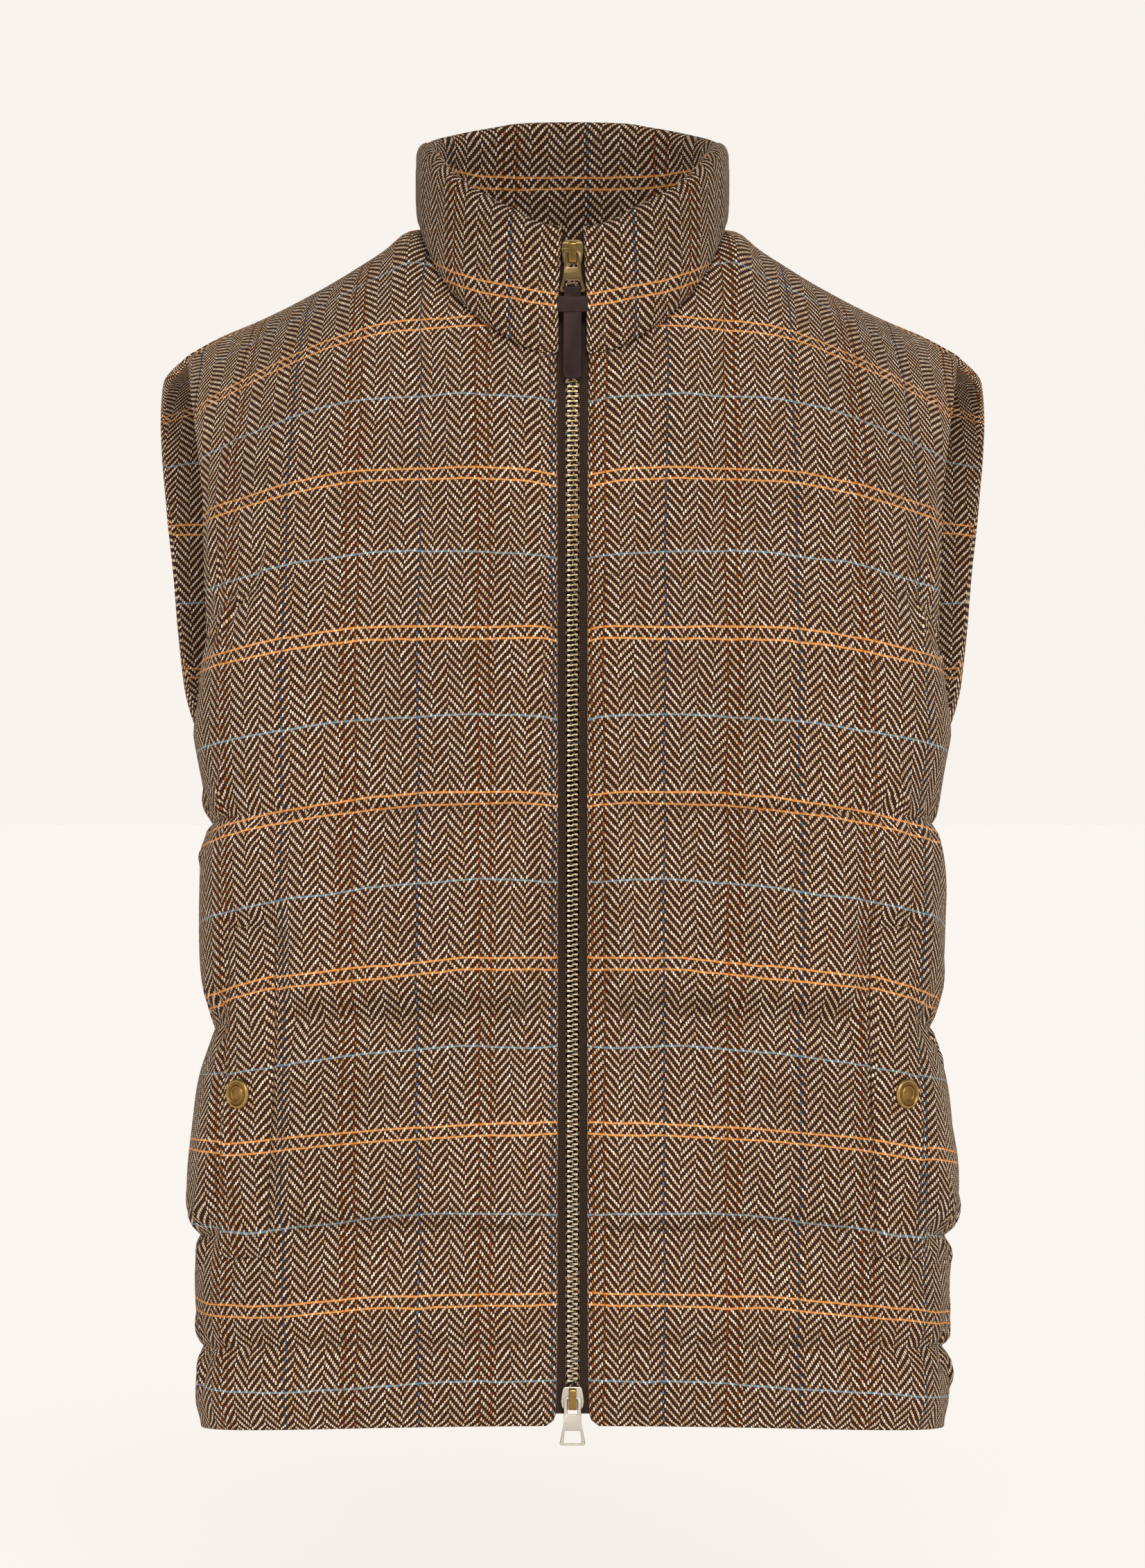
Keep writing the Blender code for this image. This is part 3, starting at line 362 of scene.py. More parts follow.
def metalMaterial(name, deep, face, edgeHighlight, roughness, spots):
    b = NodeBench(name, {"Metallic": 1.0})
    place = b.objectPlace()
    cloud = b.noise(place, 420.0, 4.0, 0.6)
    fine = b.noise(place, 3800.0, 3.0, 0.6)
    colour = b.mix(b.spread(cloud, spots, 0.0, 0.32, 0.62), face, deep)
    edge = b.edge()
    # convex edges are mixed towards the highlight colour: a painted highlight
    colour = b.mix(b.spread(edge, 0.0, 0.9, 0.505, 0.60), colour, edgeHighlight)
    colour = b.mix(b.spread(edge, 0.8, 0.0, 0.40, 0.49), colour, deep)
    # painted light: the teeth are mixed towards a pale tone lower down
    if name == "toothBrass":
        low = b.spread(b.split(place)[2], teethPaintedLight["share"], 0.0, *teethPaintedLight["heights"])
        colour = b.mix(low, colour, teethPaintedLight["tone"])
    rough = b.spread(cloud, roughness + 0.10, roughness - 0.06, 0.3, 0.7)
    return b.finish(colour, rough, b.bump(fine, 0.00006, 0.5))


brass = {name: metalMaterial(name, *tones) for name, tones in metals.items()}


def leatherMaterial():
    b = NodeBench("darkLeather", {"Specular IOR Level": 0.14})
    place = b.objectPlace()
    pores = b.add("ShaderNodeTexVoronoi", {"Vector": place, "Scale": 1900.0}).outputs["Distance"]
    cloud = b.noise(place, 160.0, 3.0)
    colour = b.mix(b.spread(cloud, 0.0, 1.0, 0.3, 0.7), (0.014, 0.0060, 0.0052), (0.028, 0.0125, 0.0105))
    # convex edges are mixed lighter: a painted highlight
    colour = b.mix(b.spread(b.edge(), 0.0, 0.5, 0.52, 0.62), colour, (0.10, 0.055, 0.044))
    height = b.math("MULTIPLY_ADD", b.noise(place, 700.0, 3.0), 0.6, pores)
    return b.finish(colour, b.spread(cloud, 0.42, 0.58), b.bump(height, 0.00012, 0.5))


darkLeather = leatherMaterial()


def threadMaterial():
    b = NodeBench("brownThread", {})
    twist = b.noise(b.objectPlace(), 1800.0, 2.0)
    colour = b.mix(twist, (0.030, 0.016, 0.010), (0.085, 0.048, 0.030))
    return b.finish(colour, b.spread(twist, 0.6, 0.8), b.bump(twist, 0.0001, 0.6))


brownThread = threadMaterial()
print("materials made")

# Body shape: the same sections and tables as the solids, on a fine grid

bodyCut = {
    "hem": -0.6555,
    "underarm": -0.262,
    "chestSeam": -0.185,
    "neckFrontZ": -0.059,
    "sideDrop": 0.0145,
    "wall": 0.005,
    "gap": 0.0003,
    "edgeRound": 0.0016,
    "seamInset": 0.0009,
    "frontLength": 0.303,
    "frontPower": 4.0,
    "backPower": 3.0,
    "armholeScoop": 0.16,
    "yokeFill": 0.0034,
    "sideSeamFill": 0.62,
}
# depth and power: behind, in front
neckRing = {"half": 0.079, "depth": (0.066, 0.104), "power": (2.2, 2.6), "sideZ": 0.006, "backZ": 0.018}

hemZ = bodyCut["hem"]
halfWidthAt = [(hemZ, 0.2076), (-0.608, 0.2062), (-0.548, 0.2076), (-0.4296, 0.1998), (-0.3130, 0.2000),
               (-0.262, 0.2070)]
frontDepthAt = [(hemZ, 0.1120), (-0.540, 0.1160), (-0.400, 0.1170), (-0.262, 0.1160)]
backDepthAt = [(hemZ, 0.1000), (-0.540, 0.1020), (-0.400, 0.0980), (-0.262, 0.1040)]
frontEdgeAt = [(hemZ, 0.0104), (-0.630, 0.0094), (-0.560, 0.0088), (-0.150, 0.0088), (-0.059, 0.0092),
               (-0.034, 0.0092), (-0.020, 0.0086), (-0.003, 0.0079), (0.0105, 0.0074)]
shoulderLine = [(0.0, 0.0500), (0.040, 0.0360), (0.070, 0.0195), (0.080, 0.0145), (0.090, 0.0115),
                (0.100, 0.0058), (0.116, -0.0040), (0.140, -0.0180), (0.179, -0.0372), (0.200, -0.0460),
                (0.2195, -0.0565)]
upperPowerAt = [(0.0, 3.05, 3.00), (0.10, 2.90, 2.95), (0.16, 2.70, 2.88), (0.21, 2.46, 2.80),
                (0.25, 2.27, 2.72), (0.30, 2.14, 2.60), (0.50, 2.12, 2.40), (1.0, 2.20, 2.20)]
# rise, then x, y and z
frontArmhole = [(0.00, 0.2070, 0.000, -0.2765), (0.12, 0.2035, -0.026, -0.266),
                (0.30, 0.2032, -0.046, -0.232), (0.50, 0.2045, -0.054, -0.185),
                (0.70, 0.2070, -0.050, -0.138), (0.85, 0.2125, -0.034, -0.096),
                (1.00, 0.2195, 0.000, -0.0565)]
backArmhole = [(0.00, 0.2070, 0.000, -0.2765), (0.10, 0.2160, 0.028, -0.268), (0.22, 0.2250, 0.046, -0.243),
               (0.36, 0.2300, 0.055, -0.208), (0.50, 0.2335, 0.058, -0.172), (0.64, 0.2372, 0.055, -0.136),
               (0.78, 0.2390, 0.045, -0.101), (0.90, 0.2360, 0.024, -0.072), (1.00, 0.2195, 0.000, -0.0565)]
fanAt = [(0.0, 0.0), (0.10, 0.095), (0.20, 0.180), (0.25, 0.214), (0.295, 0.239), (0.34, 0.260),
         (0.385, 0.2835), (0.44, 0.345), (0.54, 0.480), (0.68, 0.655), (0.83, 0.825), (1.0, 1.0)]
# lower seam, upper seam, filling in front, filling at the side
quiltChannels = [(hemZ, -0.610, 0.0020, 0.0040), (-0.610, -0.547, 0.0024, 0.0038),
                 (-0.547, -0.429, 0.0032, 0.0094), (-0.429, -0.313, 0.0032, 0.0088),
                 (-0.313, -0.185, 0.0032, 0.0046)]
quiltSeams = [channel[1] for channel in quiltChannels]
collarRimAt = [(0.0, 0.0105), (0.041, 0.0217), (0.154, 0.0346), (0.31, 0.0480), (0.482, 0.0590),
               (0.737, 0.0668), (1.0, 0.0698), (1.20, 0.0722), (1.42, 0.0762), (1.61, 0.0800),
               (1.767, 0.0840), (1.878, 0.0873), (1.94, 0.0898), (2.0, 0.0912)]


def tableCurve(table, at, column=1):
    keys = np.array([row[0] for row in table])
    values = np.array([row[column] for row in table])
    slopes = np.diff(values) / np.diff(keys)
    product = slopes[:-1] * slopes[1:]
    total = np.where(np.abs(slopes[:-1] + slopes[1:]) > 1e-12, slopes[:-1] + slopes[1:], 1.0)
    between = np.where(product > 0.0, 2.0 * product / total, 0.0)
    tangents = np.concatenate([[slopes[0]], between, [slopes[-1]]])
    at = np.clip(np.asarray(at, float), keys[0], keys[-1])
    place = np.clip(np.searchsorted(keys, at, side="right") - 1, 0, len(keys) - 2)
    span = keys[place + 1] - keys[place]
    t = (at - keys[place]) / span
    return (values[place] * (2 * t ** 3 - 3 * t ** 2 + 1) + tangents[place] * span * (t ** 3 - 2 * t ** 2 + t)
            + values[place + 1] * (3 * t ** 2 - 2 * t ** 3) + tangents[place + 1] * span * (t ** 3 - t ** 2))


def ease(low, high, at):
    t = np.clip((np.asarray(at, float) - low) / (high - low), 0.0, 1.0)
    return t * t * (3.0 - 2.0 * t)


def window(low, lowEnd, high, highEnd, at):
    return ease(low, lowEnd, at) * (1.0 - ease(high, highEnd, at))


def bell(at, middle, width):
    return np.exp(-((at - middle) / width) ** 2)


def unit(vectors):
    return vectors / np.maximum(np.linalg.norm(vectors, axis=-1, keepdims=True), 1e-9)


def runOf(points):
    # length from the first point to each
    return np.concatenate([[0.0], np.cumsum(np.linalg.norm(np.diff(points, axis=0), axis=1))])


def read(at, known, table):
    return np.stack([np.interp(at, known, table[:, axis]) for axis in range(table.shape[1])], axis=-1)


def sectionTurn(halfWidth, depth, power):
    angle = np.linspace(0.0, math.pi / 2, 721)
    xs = halfWidth * np.sin(angle) ** (2 / power)
    ys = depth * np.maximum(np.cos(angle), 0.0) ** (2 / power)
    ys[-1] = 0.0
    run = np.concatenate([[0.0], np.cumsum(np.hypot(np.diff(xs), np.diff(ys)))])
    return xs, ys, run / run[-1]


def bodyPoints(shares, height, front):
    power = bodyCut["frontPower"] if front else bodyCut["backPower"]
    depth = float(tableCurve(frontDepthAt if front else backDepthAt, height))
    xs, ys, run = sectionTurn(float(tableCurve(halfWidthAt, height)), depth, power)
    x = np.interp(shares, run, xs)
    y = np.interp(shares, run, ys) * (-1.0 if front else 1.0)
    drop = bodyCut["sideDrop"] * (shares ** 2.6 if front else np.ones_like(shares))
    return np.stack([x, y, height - drop], axis=-1)


def upperPoints(shares, rise, bulge, front):
    low = bodyPoints(shares, bodyCut["underarm"], front)
    x = shoulderLine[-1][0] * (1.0 - (1.0 - shares) ** 1.37)
    turn = rise * math.pi / 2
    up = np.sin(turn) ** (2 / bulge)
    over = np.where(rise < 1.0, 1.0 - np.maximum(np.cos(turn), 0.0) ** (2 / bulge), 1.0)
    return np.stack([low[..., 0] + (x - low[..., 0]) * ease(0.0, 1.0, rise),
                     low[..., 1] * (1.0 - over),
                     low[..., 2] + (tableCurve(shoulderLine, x) - low[..., 2]) * up], axis=-1)


def ringReach(place, front):
    # over 1 outside the neck ring
    power = neckRing["power"][front]
    return ((np.abs(place[..., 0]) / neckRing["half"]) ** power
            + (np.abs(place[..., 1]) / neckRing["depth"][front]) ** power)


def upperColumns(shares, front, steps=160):
    rise = np.linspace(0.0, 1.0, steps + 1)[:, None] * np.ones_like(shares)[None, :]
    share = shares[None, :] * np.ones_like(rise)
    at = share + (tableCurve(fanAt, share) - share) * rise ** 3
    scoop = bodyCut["armholeScoop"] * np.sin(math.pi * rise) ** 0.8
    bulge = tableCurve(upperPowerAt, at, 1 if front else 2)
    place = upperPoints(at * (1.0 - scoop * ease(0.30, 1.0, at)), rise, bulge, front)
    edge = upperPoints(1.0 - scoop, rise, np.full_like(rise, upperPowerAt[-1][1]), front)
    armhole = frontArmhole if front else backArmhole
    wanted = np.stack([tableCurve(armhole, rise, column) for column in (1, 2, 3)], axis=-1)
    place = place + (wanted - edge) * (at ** 3)[..., None]
    outside = ringReach(place, front) - 1.0
    paths = []
    for column in range(len(shares)):
        path = place[:, column]
        crossed = np.nonzero(outside[1:, column] <= 0.0)[0]
        if shares[column] < 0.5 and len(crossed):
            k = int(crossed[0]) + 1
            before, after = outside[k - 1, column], outside[k, column]
            t = before / (before - after) if before > after else 1.0
            path = np.vstack([path[:k], path[k - 1] + (path[k] - path[k - 1]) * t])
        paths.append(path)
    return paths


def channelRows(spacing):
    rows = []
    for low, high, _, _ in quiltChannels:
        count = max(4, round((high - low) / spacing))
        t = np.arange(count) / count
        rows += list(low + (high - low) * (0.55 * t + 0.45 * (1 - np.cos(math.pi * t)) / 2))
    return np.array(rows + [bodyCut["chestSeam"]])


clothGrid = {"rowSpacing": 0.0036, "topRows": 46, "frontColumns": 92, "backColumns": 78, "knownColumns": 170,
             "backRound": 0.29}
lastShare = 0.9995               # the cloth ends this share of the way to the side seam


def plainInside(front, columnsAt):
    # grid of the plain inside, with each row's height and each point's share of the way round
    rows = channelRows(clothGrid["rowSpacing"])
    known = np.linspace(0.0, 1.0, clothGrid["knownColumns"])
    known = np.sort(np.concatenate([known[:-1], [lastShare]]))
    paths = upperColumns(known, front)
    chest = rows[rows > bodyCut["underarm"]] - bodyCut["underarm"]
    t = np.linspace(0.0, 1.0, clothGrid["topRows"] + 1)[1:]
    upper = np.zeros((len(chest) + len(t), len(known), 3))
    seam = bodyCut["chestSeam"] - bodyCut["underarm"]
    for k, path in enumerate(paths):
        run = runOf(path)
        spots = np.concatenate([chest, seam + (run[-1] - seam) * np.minimum(t, 1.0 - bodyCut["seamInset"])])
        upper[:, k] = read(spots, run, path)
    upperHeights = bodyCut["chestSeam"] + (bodyCut["neckFrontZ"] - bodyCut["chestSeam"]) * t
    heights = np.concatenate([rows, upperHeights])
    grid = []
    shares = []
    lowCount = int(np.sum(rows <= bodyCut["underarm"]))
    for i, height in enumerate(heights):
        share = columnsAt(height)
        shares.append(share)
        if i < lowCount:
            grid.append(bodyPoints(share, height, front))
        else:
            grid.append(read(share, known, upper[i - lowCount]))
    return np.array(grid), heights, np.array(shares), len(rows) - 1, t


def gridNormals(grid):
    steps = []
    for line in (grid.swapaxes(0, 1), grid):
        step = np.empty_like(line)
        step[1:-1] = line[2:] - line[:-2]
        step[0] = line[1] - line[0]
        step[-1] = line[-1] - line[-2]
        steps.append(step)
    normals = np.cross(steps[0].swapaxes(0, 1), steps[1])
    return normals / np.maximum(np.linalg.norm(normals, axis=-1, keepdims=True), 1e-12)


def softWaves(seed, count, low, high):
    # a few sines that wander between about -1 and 1
    rng = np.random.default_rng(seed)
    return [(rng.uniform(low, high), rng.uniform(0, 2 * math.pi), rng.uniform(0.6, 1.0))
            for _ in range(count)]


def waveValue(waves, at):
    total = sum(weight * np.sin(2 * math.pi * at / length + phase) for length, phase, weight in waves)
    return total / sum(weight for _, _, weight in waves) * 1.6


puckers = {"start": 0.0028, "reach": 0.0085, "sideReach": 0.0070, "front": 0.00060, "side": 0.0018,
           "waves": (0.008, 0.021), "lean": 0.35, "sag": 0.0007}
quiltShape = {
    "edgeLow": 0.0062,           # how soon the filling rises over the seam below, and falls to the one above
    "edgeHigh": 0.0105,
    "edgeShare": 0.66,
    "sideFrom": ((0.62, 0.95), (0.50, 0.93)),    # where the filling turns to the side's: behind, in front
    "slackSeam": -0.429,         # the cloth turns in gently over this seam
    "slackShare": 0.92,
    "slackUp": 0.0120,
    "slackDown": 0.0300,
    "slackSide": 0.0200,
    "slackPower": (1.1, 1.7, 2.3),
    "bands": [                   # fuller above a seam: seam, front panel, by how much, from, to
        (-0.429, 1, 0.0080, (0.012, 0.034), (0.150, 0.190)),
        (-0.429, 2, 0.0080, (0.016, 0.040), (0.150, 0.185)),
        (-0.547, 2, 0.0050, (0.030, 0.070), (0.200, 0.250)),
        (-0.547, 1, 0.0022, (0.060, 0.110), (0.200, 0.250)),
    ],
    "groove": 0.0022,
    "grooveWide": 0.0042,
    "deepest": 0.0024,
    "extraFront": 0.0036,        # fuller in front than the solids
    "calmAt": {-0.610: 0.20, -0.547: 0.05, -0.429: 0.0, -0.313: 0.34, -0.185: 0.42},
    "hemRise": (-0.004, 0.014),
    "seamRise": (0.0, 0.028),
    "armholeRise": (-0.004, 0.018),
}
sideFolds = {"perSeam": 9, "from": 0.60, "to": 0.93, "length": (0.012, 0.036), "width": (0.0022, 0.0046),
             "depth": (0.0012, 0.0026), "fan": 0.75}


def foldsBySide(seed, front, off, around):
    # longer folds that leave the seam near the side
    rng = np.random.default_rng(seed)
    total = 0.0
    for n in range(sideFolds["perSeam"]):
        way = off if n % 2 else off * -1.0
        hand = 1.0 if front or rng.random() < 0.5 else -1.0
        start = around - hand * rng.uniform(sideFolds["from"], sideFolds["to"]) * bodyCut["frontLength"]
        tilt = rng.uniform(-sideFolds["fan"], sideFolds["fan"])
        length = rng.uniform(*sideFolds["length"])
        width = rng.uniform(*sideFolds["width"])
        depth = rng.uniform(*sideFolds["depth"]) * (1.0 if n % 3 else -1.2)
        along = np.clip((way * math.cos(tilt) + start * math.sin(tilt)) / length, 0.0, 1.0)
        beside = start * math.cos(tilt) - way * math.sin(tilt)
        total = total + depth * (4.0 * along * (1.0 - along)) ** 0.8 * bell(beside, 0.0, width)
    return total


def quiltFill(heights, shares, around, seamRow, t, front, seed):
    # filling over the plain inside: channels, seams, puckers beside the seams
    q = quiltShape
    calm = q["calmAt"]
    tall = heights[:, None]
    fill = np.zeros_like(shares)
    side = ease(*q["sideFrom"][front], shares)
    breathe = softWaves(seed * 50 + 45, 4, 0.05, 0.13)

    def bulge(off, reach, power):
        return 1.0 - np.exp(-(off / reach) ** power)

    for low, high, inFront, atSide in quiltChannels:
        rows = (heights >= low) & (heights < high)
        at = tall[rows]
        aside = side[rows]
        share = (at - low) / (high - low)
        overLow = bulge(at - low, q["edgeLow"], 1.0)
        underHigh = bulge(high - at, q["edgeHigh"], 1.0)
        down, across, up = q["slackPower"]
        extra = 0.0
        if low == q["slackSeam"]:
            overLow = bulge(at - low, q["slackUp"] + (q["slackSide"] - q["slackUp"]) * aside,
                            up + (across - up) * aside)
        if high == q["slackSeam"]:
            underHigh = bulge(high - at, q["slackDown"] + (q["slackSide"] - q["slackDown"]) * aside,
                              down + (across - down) * aside)
        rise = overLow * underHigh
        for seam, panel, more, start, end in q["bands"]:
            if front and seed == panel and seam == low:
                part = window(*start, *end, around[rows])
                extra = more * part * (0.8 + 0.3 * waveValue(breathe, around[rows]))
                if low != q["slackSeam"]:
                    rise = rise + (bulge(at - low, q["slackUp"] * 0.85, up) - overLow) * part * underHigh
        hold = q["slackShare"] if q["slackSeam"] in (low, high) else q["edgeShare"]
        wave = hold * rise + (1.0 - hold) * np.sin(math.pi * share) ** 0.8
        quiet = calm.get(low, 0.0) * (1.0 - share) + calm.get(high, 0.0) * share
        quiet = quiet * (1.0 - aside) * (1.0 + 0.6 * waveValue(breathe, around[rows] + at))
        full = inFront + q["extraFront"] + extra
        fill[rows] = (full + (atSide - full) * aside) * (wave + (1.0 - wave) * np.clip(quiet, 0.0, 0.8))
    fill[seamRow] = (q["extraFront"] + quiltChannels[-1][2]) * calm[quiltSeams[-1]] * (1.0 - side[seamRow])
    yoke = bodyCut["yokeFill"] * np.sin(math.pi * np.minimum(t, 1.0)).clip(0) ** 0.55
    fill[seamRow + 1:] = np.maximum(yoke[:, None], fill[seamRow] * (1.0 - ease(0.0, 0.35, t))[:, None])
    for k, seam in enumerate(quiltSeams):
        off = tall - seam
        far = np.abs(off)
        reach = puckers["reach"] + puckers["sideReach"] * side
        near = bulge(far, puckers["start"], 2.0) * np.exp(-far / reach)
        waves = softWaves(seed * 50 + k, 7, *puckers["waves"])
        slide = waveValue(softWaves(seed * 50 + k + 25, 3, 0.05, 0.12), around) * puckers["lean"]
        size = puckers["front"] + (puckers["side"] - puckers["front"]) * side
        fill += near * size * waveValue(waves, around + slide * off)
        pull = (1.0 - 1.6 * calm[seam]) * (0.85 + 0.3 * waveValue(breathe, around + seam))
        pull = np.clip(pull * (1.0 - 0.8 * side), 0.1, 1.2)
        fill -= q["groove"] * pull * bell(off, 0.0, q["grooveWide"])
        fill += foldsBySide(seed * 100 + k, front, off, around)
    fill += (puckers["sag"] * np.minimum(1.0, fill / 0.002)
             * waveValue(softWaves(seed * 50 + 40, 4, 0.06, 0.16), around + tall * 0.4)
             * waveValue(softWaves(seed * 50 + 41, 4, 0.05, 0.11), tall + around * 0.25))
    least = bodyCut["sideSeamFill"]
    sideFill = least + (1 - least) * ease(*q["seamRise"], (1.0 - shares) * 0.30)
    armhole = ease(*q["armholeRise"], (1.0 - shares) * 0.26)
    lower = tall <= bodyCut["underarm"]
    return fill.clip(-q["deepest"]) * ease(*q["hemRise"], tall - hemZ) * np.where(lower, sideFill, armhole)


def plainFill(heights, shares):
    side = ease(*quiltShape["sideFrom"][True], shares)
    fill = np.zeros_like(shares)
    for low, high, inFront, atSide in quiltChannels:
        rows = (heights >= low) & (heights < high)
        wave = np.sin(math.pi * (heights[rows] - low) / (high - low)) ** 0.62
        fill[rows] = (inFront + (atSide - inFront) * side[rows]) * wave[:, None]
    return fill


neckPad = {"swell": 0.0024, "from": 0.0135, "reach": 0.0080, "heights": (-0.16, -0.11)}


def neckSwell(grid, front):
    # the panels puff up against the collar's foot
    across = np.maximum(ringReach(grid, front), 1e-6) ** (1.0 / neckRing["power"][front])
    away = np.hypot(grid[..., 0], grid[..., 1]) * (1.0 - 1.0 / across)
    swell = neckPad["swell"] * bell(away, neckPad["from"], neckPad["reach"])
    return swell * ease(*neckPad["heights"], grid[..., 2])


def clothMap(inner, normals, startU):
    # flat coordinates in metres: lines of one U run straight up the cloth
    up = np.cross(normals, np.array([1.0, 0.0, 0.0]))
    up = unit(up * np.sign(up[..., 2:3] + 1e-9))
    steep = unit(np.array([0.0, 0.0, 1.0]) - normals * normals[..., 2:3])
    up = unit(up + (steep - up) * ease(0.45, 0.80, np.abs(normals[..., :1])))
    step = np.diff(inner, axis=1)
    flat = []
    for line in (np.cross(up, normals), up):
        gone = np.cumsum(np.sum(step * (line[:, 1:] + line[:, :-1]) / 2, axis=-1), axis=1)
        flat.append(np.concatenate([np.zeros((len(inner), 1)), gone], axis=1))
    return flat[0] + np.asarray(startU)[:, None], flat[1] + runOf(inner[:, 0])[:, None]


rimSteps = 5


def wallPiece(name, inner, outer, chart, material, rounds, flip=False):
    # closed cloth wall between two grids; rounds: how far each edge bulges
    rows, columns = inner.shape[:2]
    index = np.arange(rows * columns).reshape(rows, columns)
    quads = np.stack([index[:-1, :-1], index[:-1, 1:], index[1:, 1:], index[1:, :-1]], axis=-1).reshape(-1, 4)
    border = [(0, j) for j in range(columns)] + [(i, columns - 1) for i in range(1, rows)]
    border += [(rows - 1, j) for j in range(columns - 2, -1, -1)] + [(i, 0) for i in range(rows - 2, 0, -1)]
    first = np.broadcast_to(rounds["first"], rows)
    last = np.broadcast_to(rounds["last"], rows)
    turns = [math.pi * k / (rimSteps + 1) for k in range(rimSteps, 0, -1)]
    rims, rimFlats = [], []
    for i, j in border:
        out, onward = np.zeros(3), np.zeros(2)
        for edge, near, bulge in (
                (i == 0, (1, j), rounds["low"]), (i == rows - 1, (i - 1, j), rounds["high"]),
                (j == 0, (i, 1), first[i]), (j == columns - 1, (i, j - 1), last[i])):
            if edge:
                out += unit(inner[i, j] - inner[near]) * bulge
                onward += unit(chart[i, j] - chart[near])
        line = [outer[i, j]]
        for turn in turns:
            across = (1.0 - math.cos(turn)) / 2
            line.append(inner[i, j] * (1 - across) + outer[i, j] * across + out * math.sin(turn))
        gone = runOf(np.array(line + [inner[i, j]]))[1:, None]
        rims += line[:0:-1]
        rimFlats.append((chart[i, j] + unit(onward) * gone)[::-1])
    flat = chart.reshape(-1, 2)
    inEdge = index[tuple(np.array(border).T)]
    base = 2 * index.size + np.arange(len(border)) * rimSteps
    lines = [inEdge] + [base + k for k in range(rimSteps)] + [inEdge + index.size]
    lineFlats = list(np.array(rimFlats).swapaxes(0, 1)) + [flat[inEdge]]
    faces = [quads[:, ::-1], quads + index.size]
    corners = [flat[quads[:, ::-1]], flat[quads]]
    for a, b, flatA, flatB in zip(lines, lines[1:], lineFlats, lineFlats[1:]):
        faces.append(np.stack([a, np.roll(a, -1), np.roll(b, -1), b], axis=-1))
        corners.append(np.stack([flatA, np.roll(flatA, -1, axis=0), np.roll(flatB, -1, axis=0), flatB],
                                axis=1))
    points = np.vstack([inner.reshape(-1, 3), outer.reshape(-1, 3), np.array(rims)])
    faces, corners = np.vstack(faces), np.vstack(corners)
    if flip:
        faces, corners = faces[:, ::-1], corners[:, ::-1]
    return clothObject(name, points, faces, corners, material)


def clothObject(name, points, faces, corners, material, smoothAngle=60.0):
    mesh = bpy.data.meshes.new(name)
    mesh.from_pydata(points.tolist(), [], faces.tolist())
    layer = mesh.uv_layers.new(name="cloth")
    layer.data.foreach_set("uv", corners.reshape(-1, 2).astype(np.float32).ravel())
    mesh.materials.append(material)
    mesh.shade_smooth()
    mesh.set_sharp_from_angle(angle=math.radians(smoothAngle))
    return placed(name, mesh)


def denser(count, tight):
    # shares from 0 to 1, closer together at both ends
    t = np.linspace(0.0, 1.0, count)
    return (1 - tight) * t + tight * (1 - np.cos(math.pi * t)) / 2


def mirrored(grid):
    return grid * np.array([-1.0, 1.0, 1.0])


weltShape = {"from": 0.585, "to": 0.68, "bottom": -0.559, "top": -0.374, "wall": 0.0030, "bed": 0.0040,
             "turn": 2.5, "span": 7, "shift": (0.0047, 0.0008), "gape": 0.0026, "columns": 17,
             "lift": 0.0001, "crown": (0.55, 0.45), "gapeHigh": 1.15, "rim": 0.0006, "freeRim": 0.0004}
# how the panel's cloth dips along the welt's sewn edge and round its ends
weltDip = {"deep": 0.0034, "edge": 0.75, "edgeAside": 0.0015, "edgeWide": 0.0016, "endWide": 0.0015,
           "ends": ((-0.5599, 0.8), (-0.3729, 2.0)), "fadeUp": 0.004, "fadeAcross": 0.012,
           "bedUp": (0.014, 0.003), "bedAcross": (0.045, 0.006)}
droop = {"zip": 0.003, "zipReach": 0.012, "zipFrom": (-0.40, -0.25), "back": 0.6, "right": -0.0094}
# how far the level lines of the weave hang at the sides, by height, and how they shift as a whole
sideDroopAt = [(hemZ, 0.0150), (-0.585, 0.0165), (-0.494, 0.0190), (-0.403, 0.0235), (-0.309, 0.0200),
               (-0.218, 0.0140), (-0.125, 0.0060), (-0.02, 0.0040)]
aroundDroopAt = [(0.0, 0.0), (0.15, 0.0), (0.33, 0.10), (0.55, 0.47), (0.75, 1.0), (0.88, 1.22), (1.0, 1.3)]
levelShiftAt = [(hemZ, -0.0009), (-0.588, -0.0009), (-0.494, -0.0024), (-0.403, -0.0019), (-0.309, -0.0015),
                (-0.218, -0.0013), (-0.125, 0.0047), (-0.02, 0.0080)]
zipRise = (-0.003, 0.016)        # how the filling rises from the zip
hemCorner = 0.0055               # radius of the front panels' lower corner at the zip


def frontColumnsAt(height):
    up = min(max(1.0 - (height - hemZ) / hemCorner, 0.0), 0.97)
    corner = hemCorner * (1.0 - math.sqrt(1.0 - up * up))
    edge = (float(tableCurve(frontEdgeAt, height)) + bodyCut["edgeRound"] + corner) / bodyCut["frontLength"]
    return edge + (lastShare - edge) * denser(clothGrid["frontColumns"], 0.35)


frontInner, frontHeights, frontShares, frontSeamRow, topShares = plainInside(True, frontColumnsAt)
frontNormals = gridNormals(frontInner)
frontAround = frontShares * bodyCut["frontLength"]


def nearWelt(outUp, inUp, outAcross, inAcross):
    w = weltShape
    up = window(w["bottom"] - outUp, w["bottom"] - inUp, w["top"] + inUp, w["top"] + outUp, frontHeights)
    across = window(w["from"] - outAcross, w["from"] - inAcross,
                    w["to"] + inAcross, w["to"] + outAcross, frontShares)
    return up[:, None], across


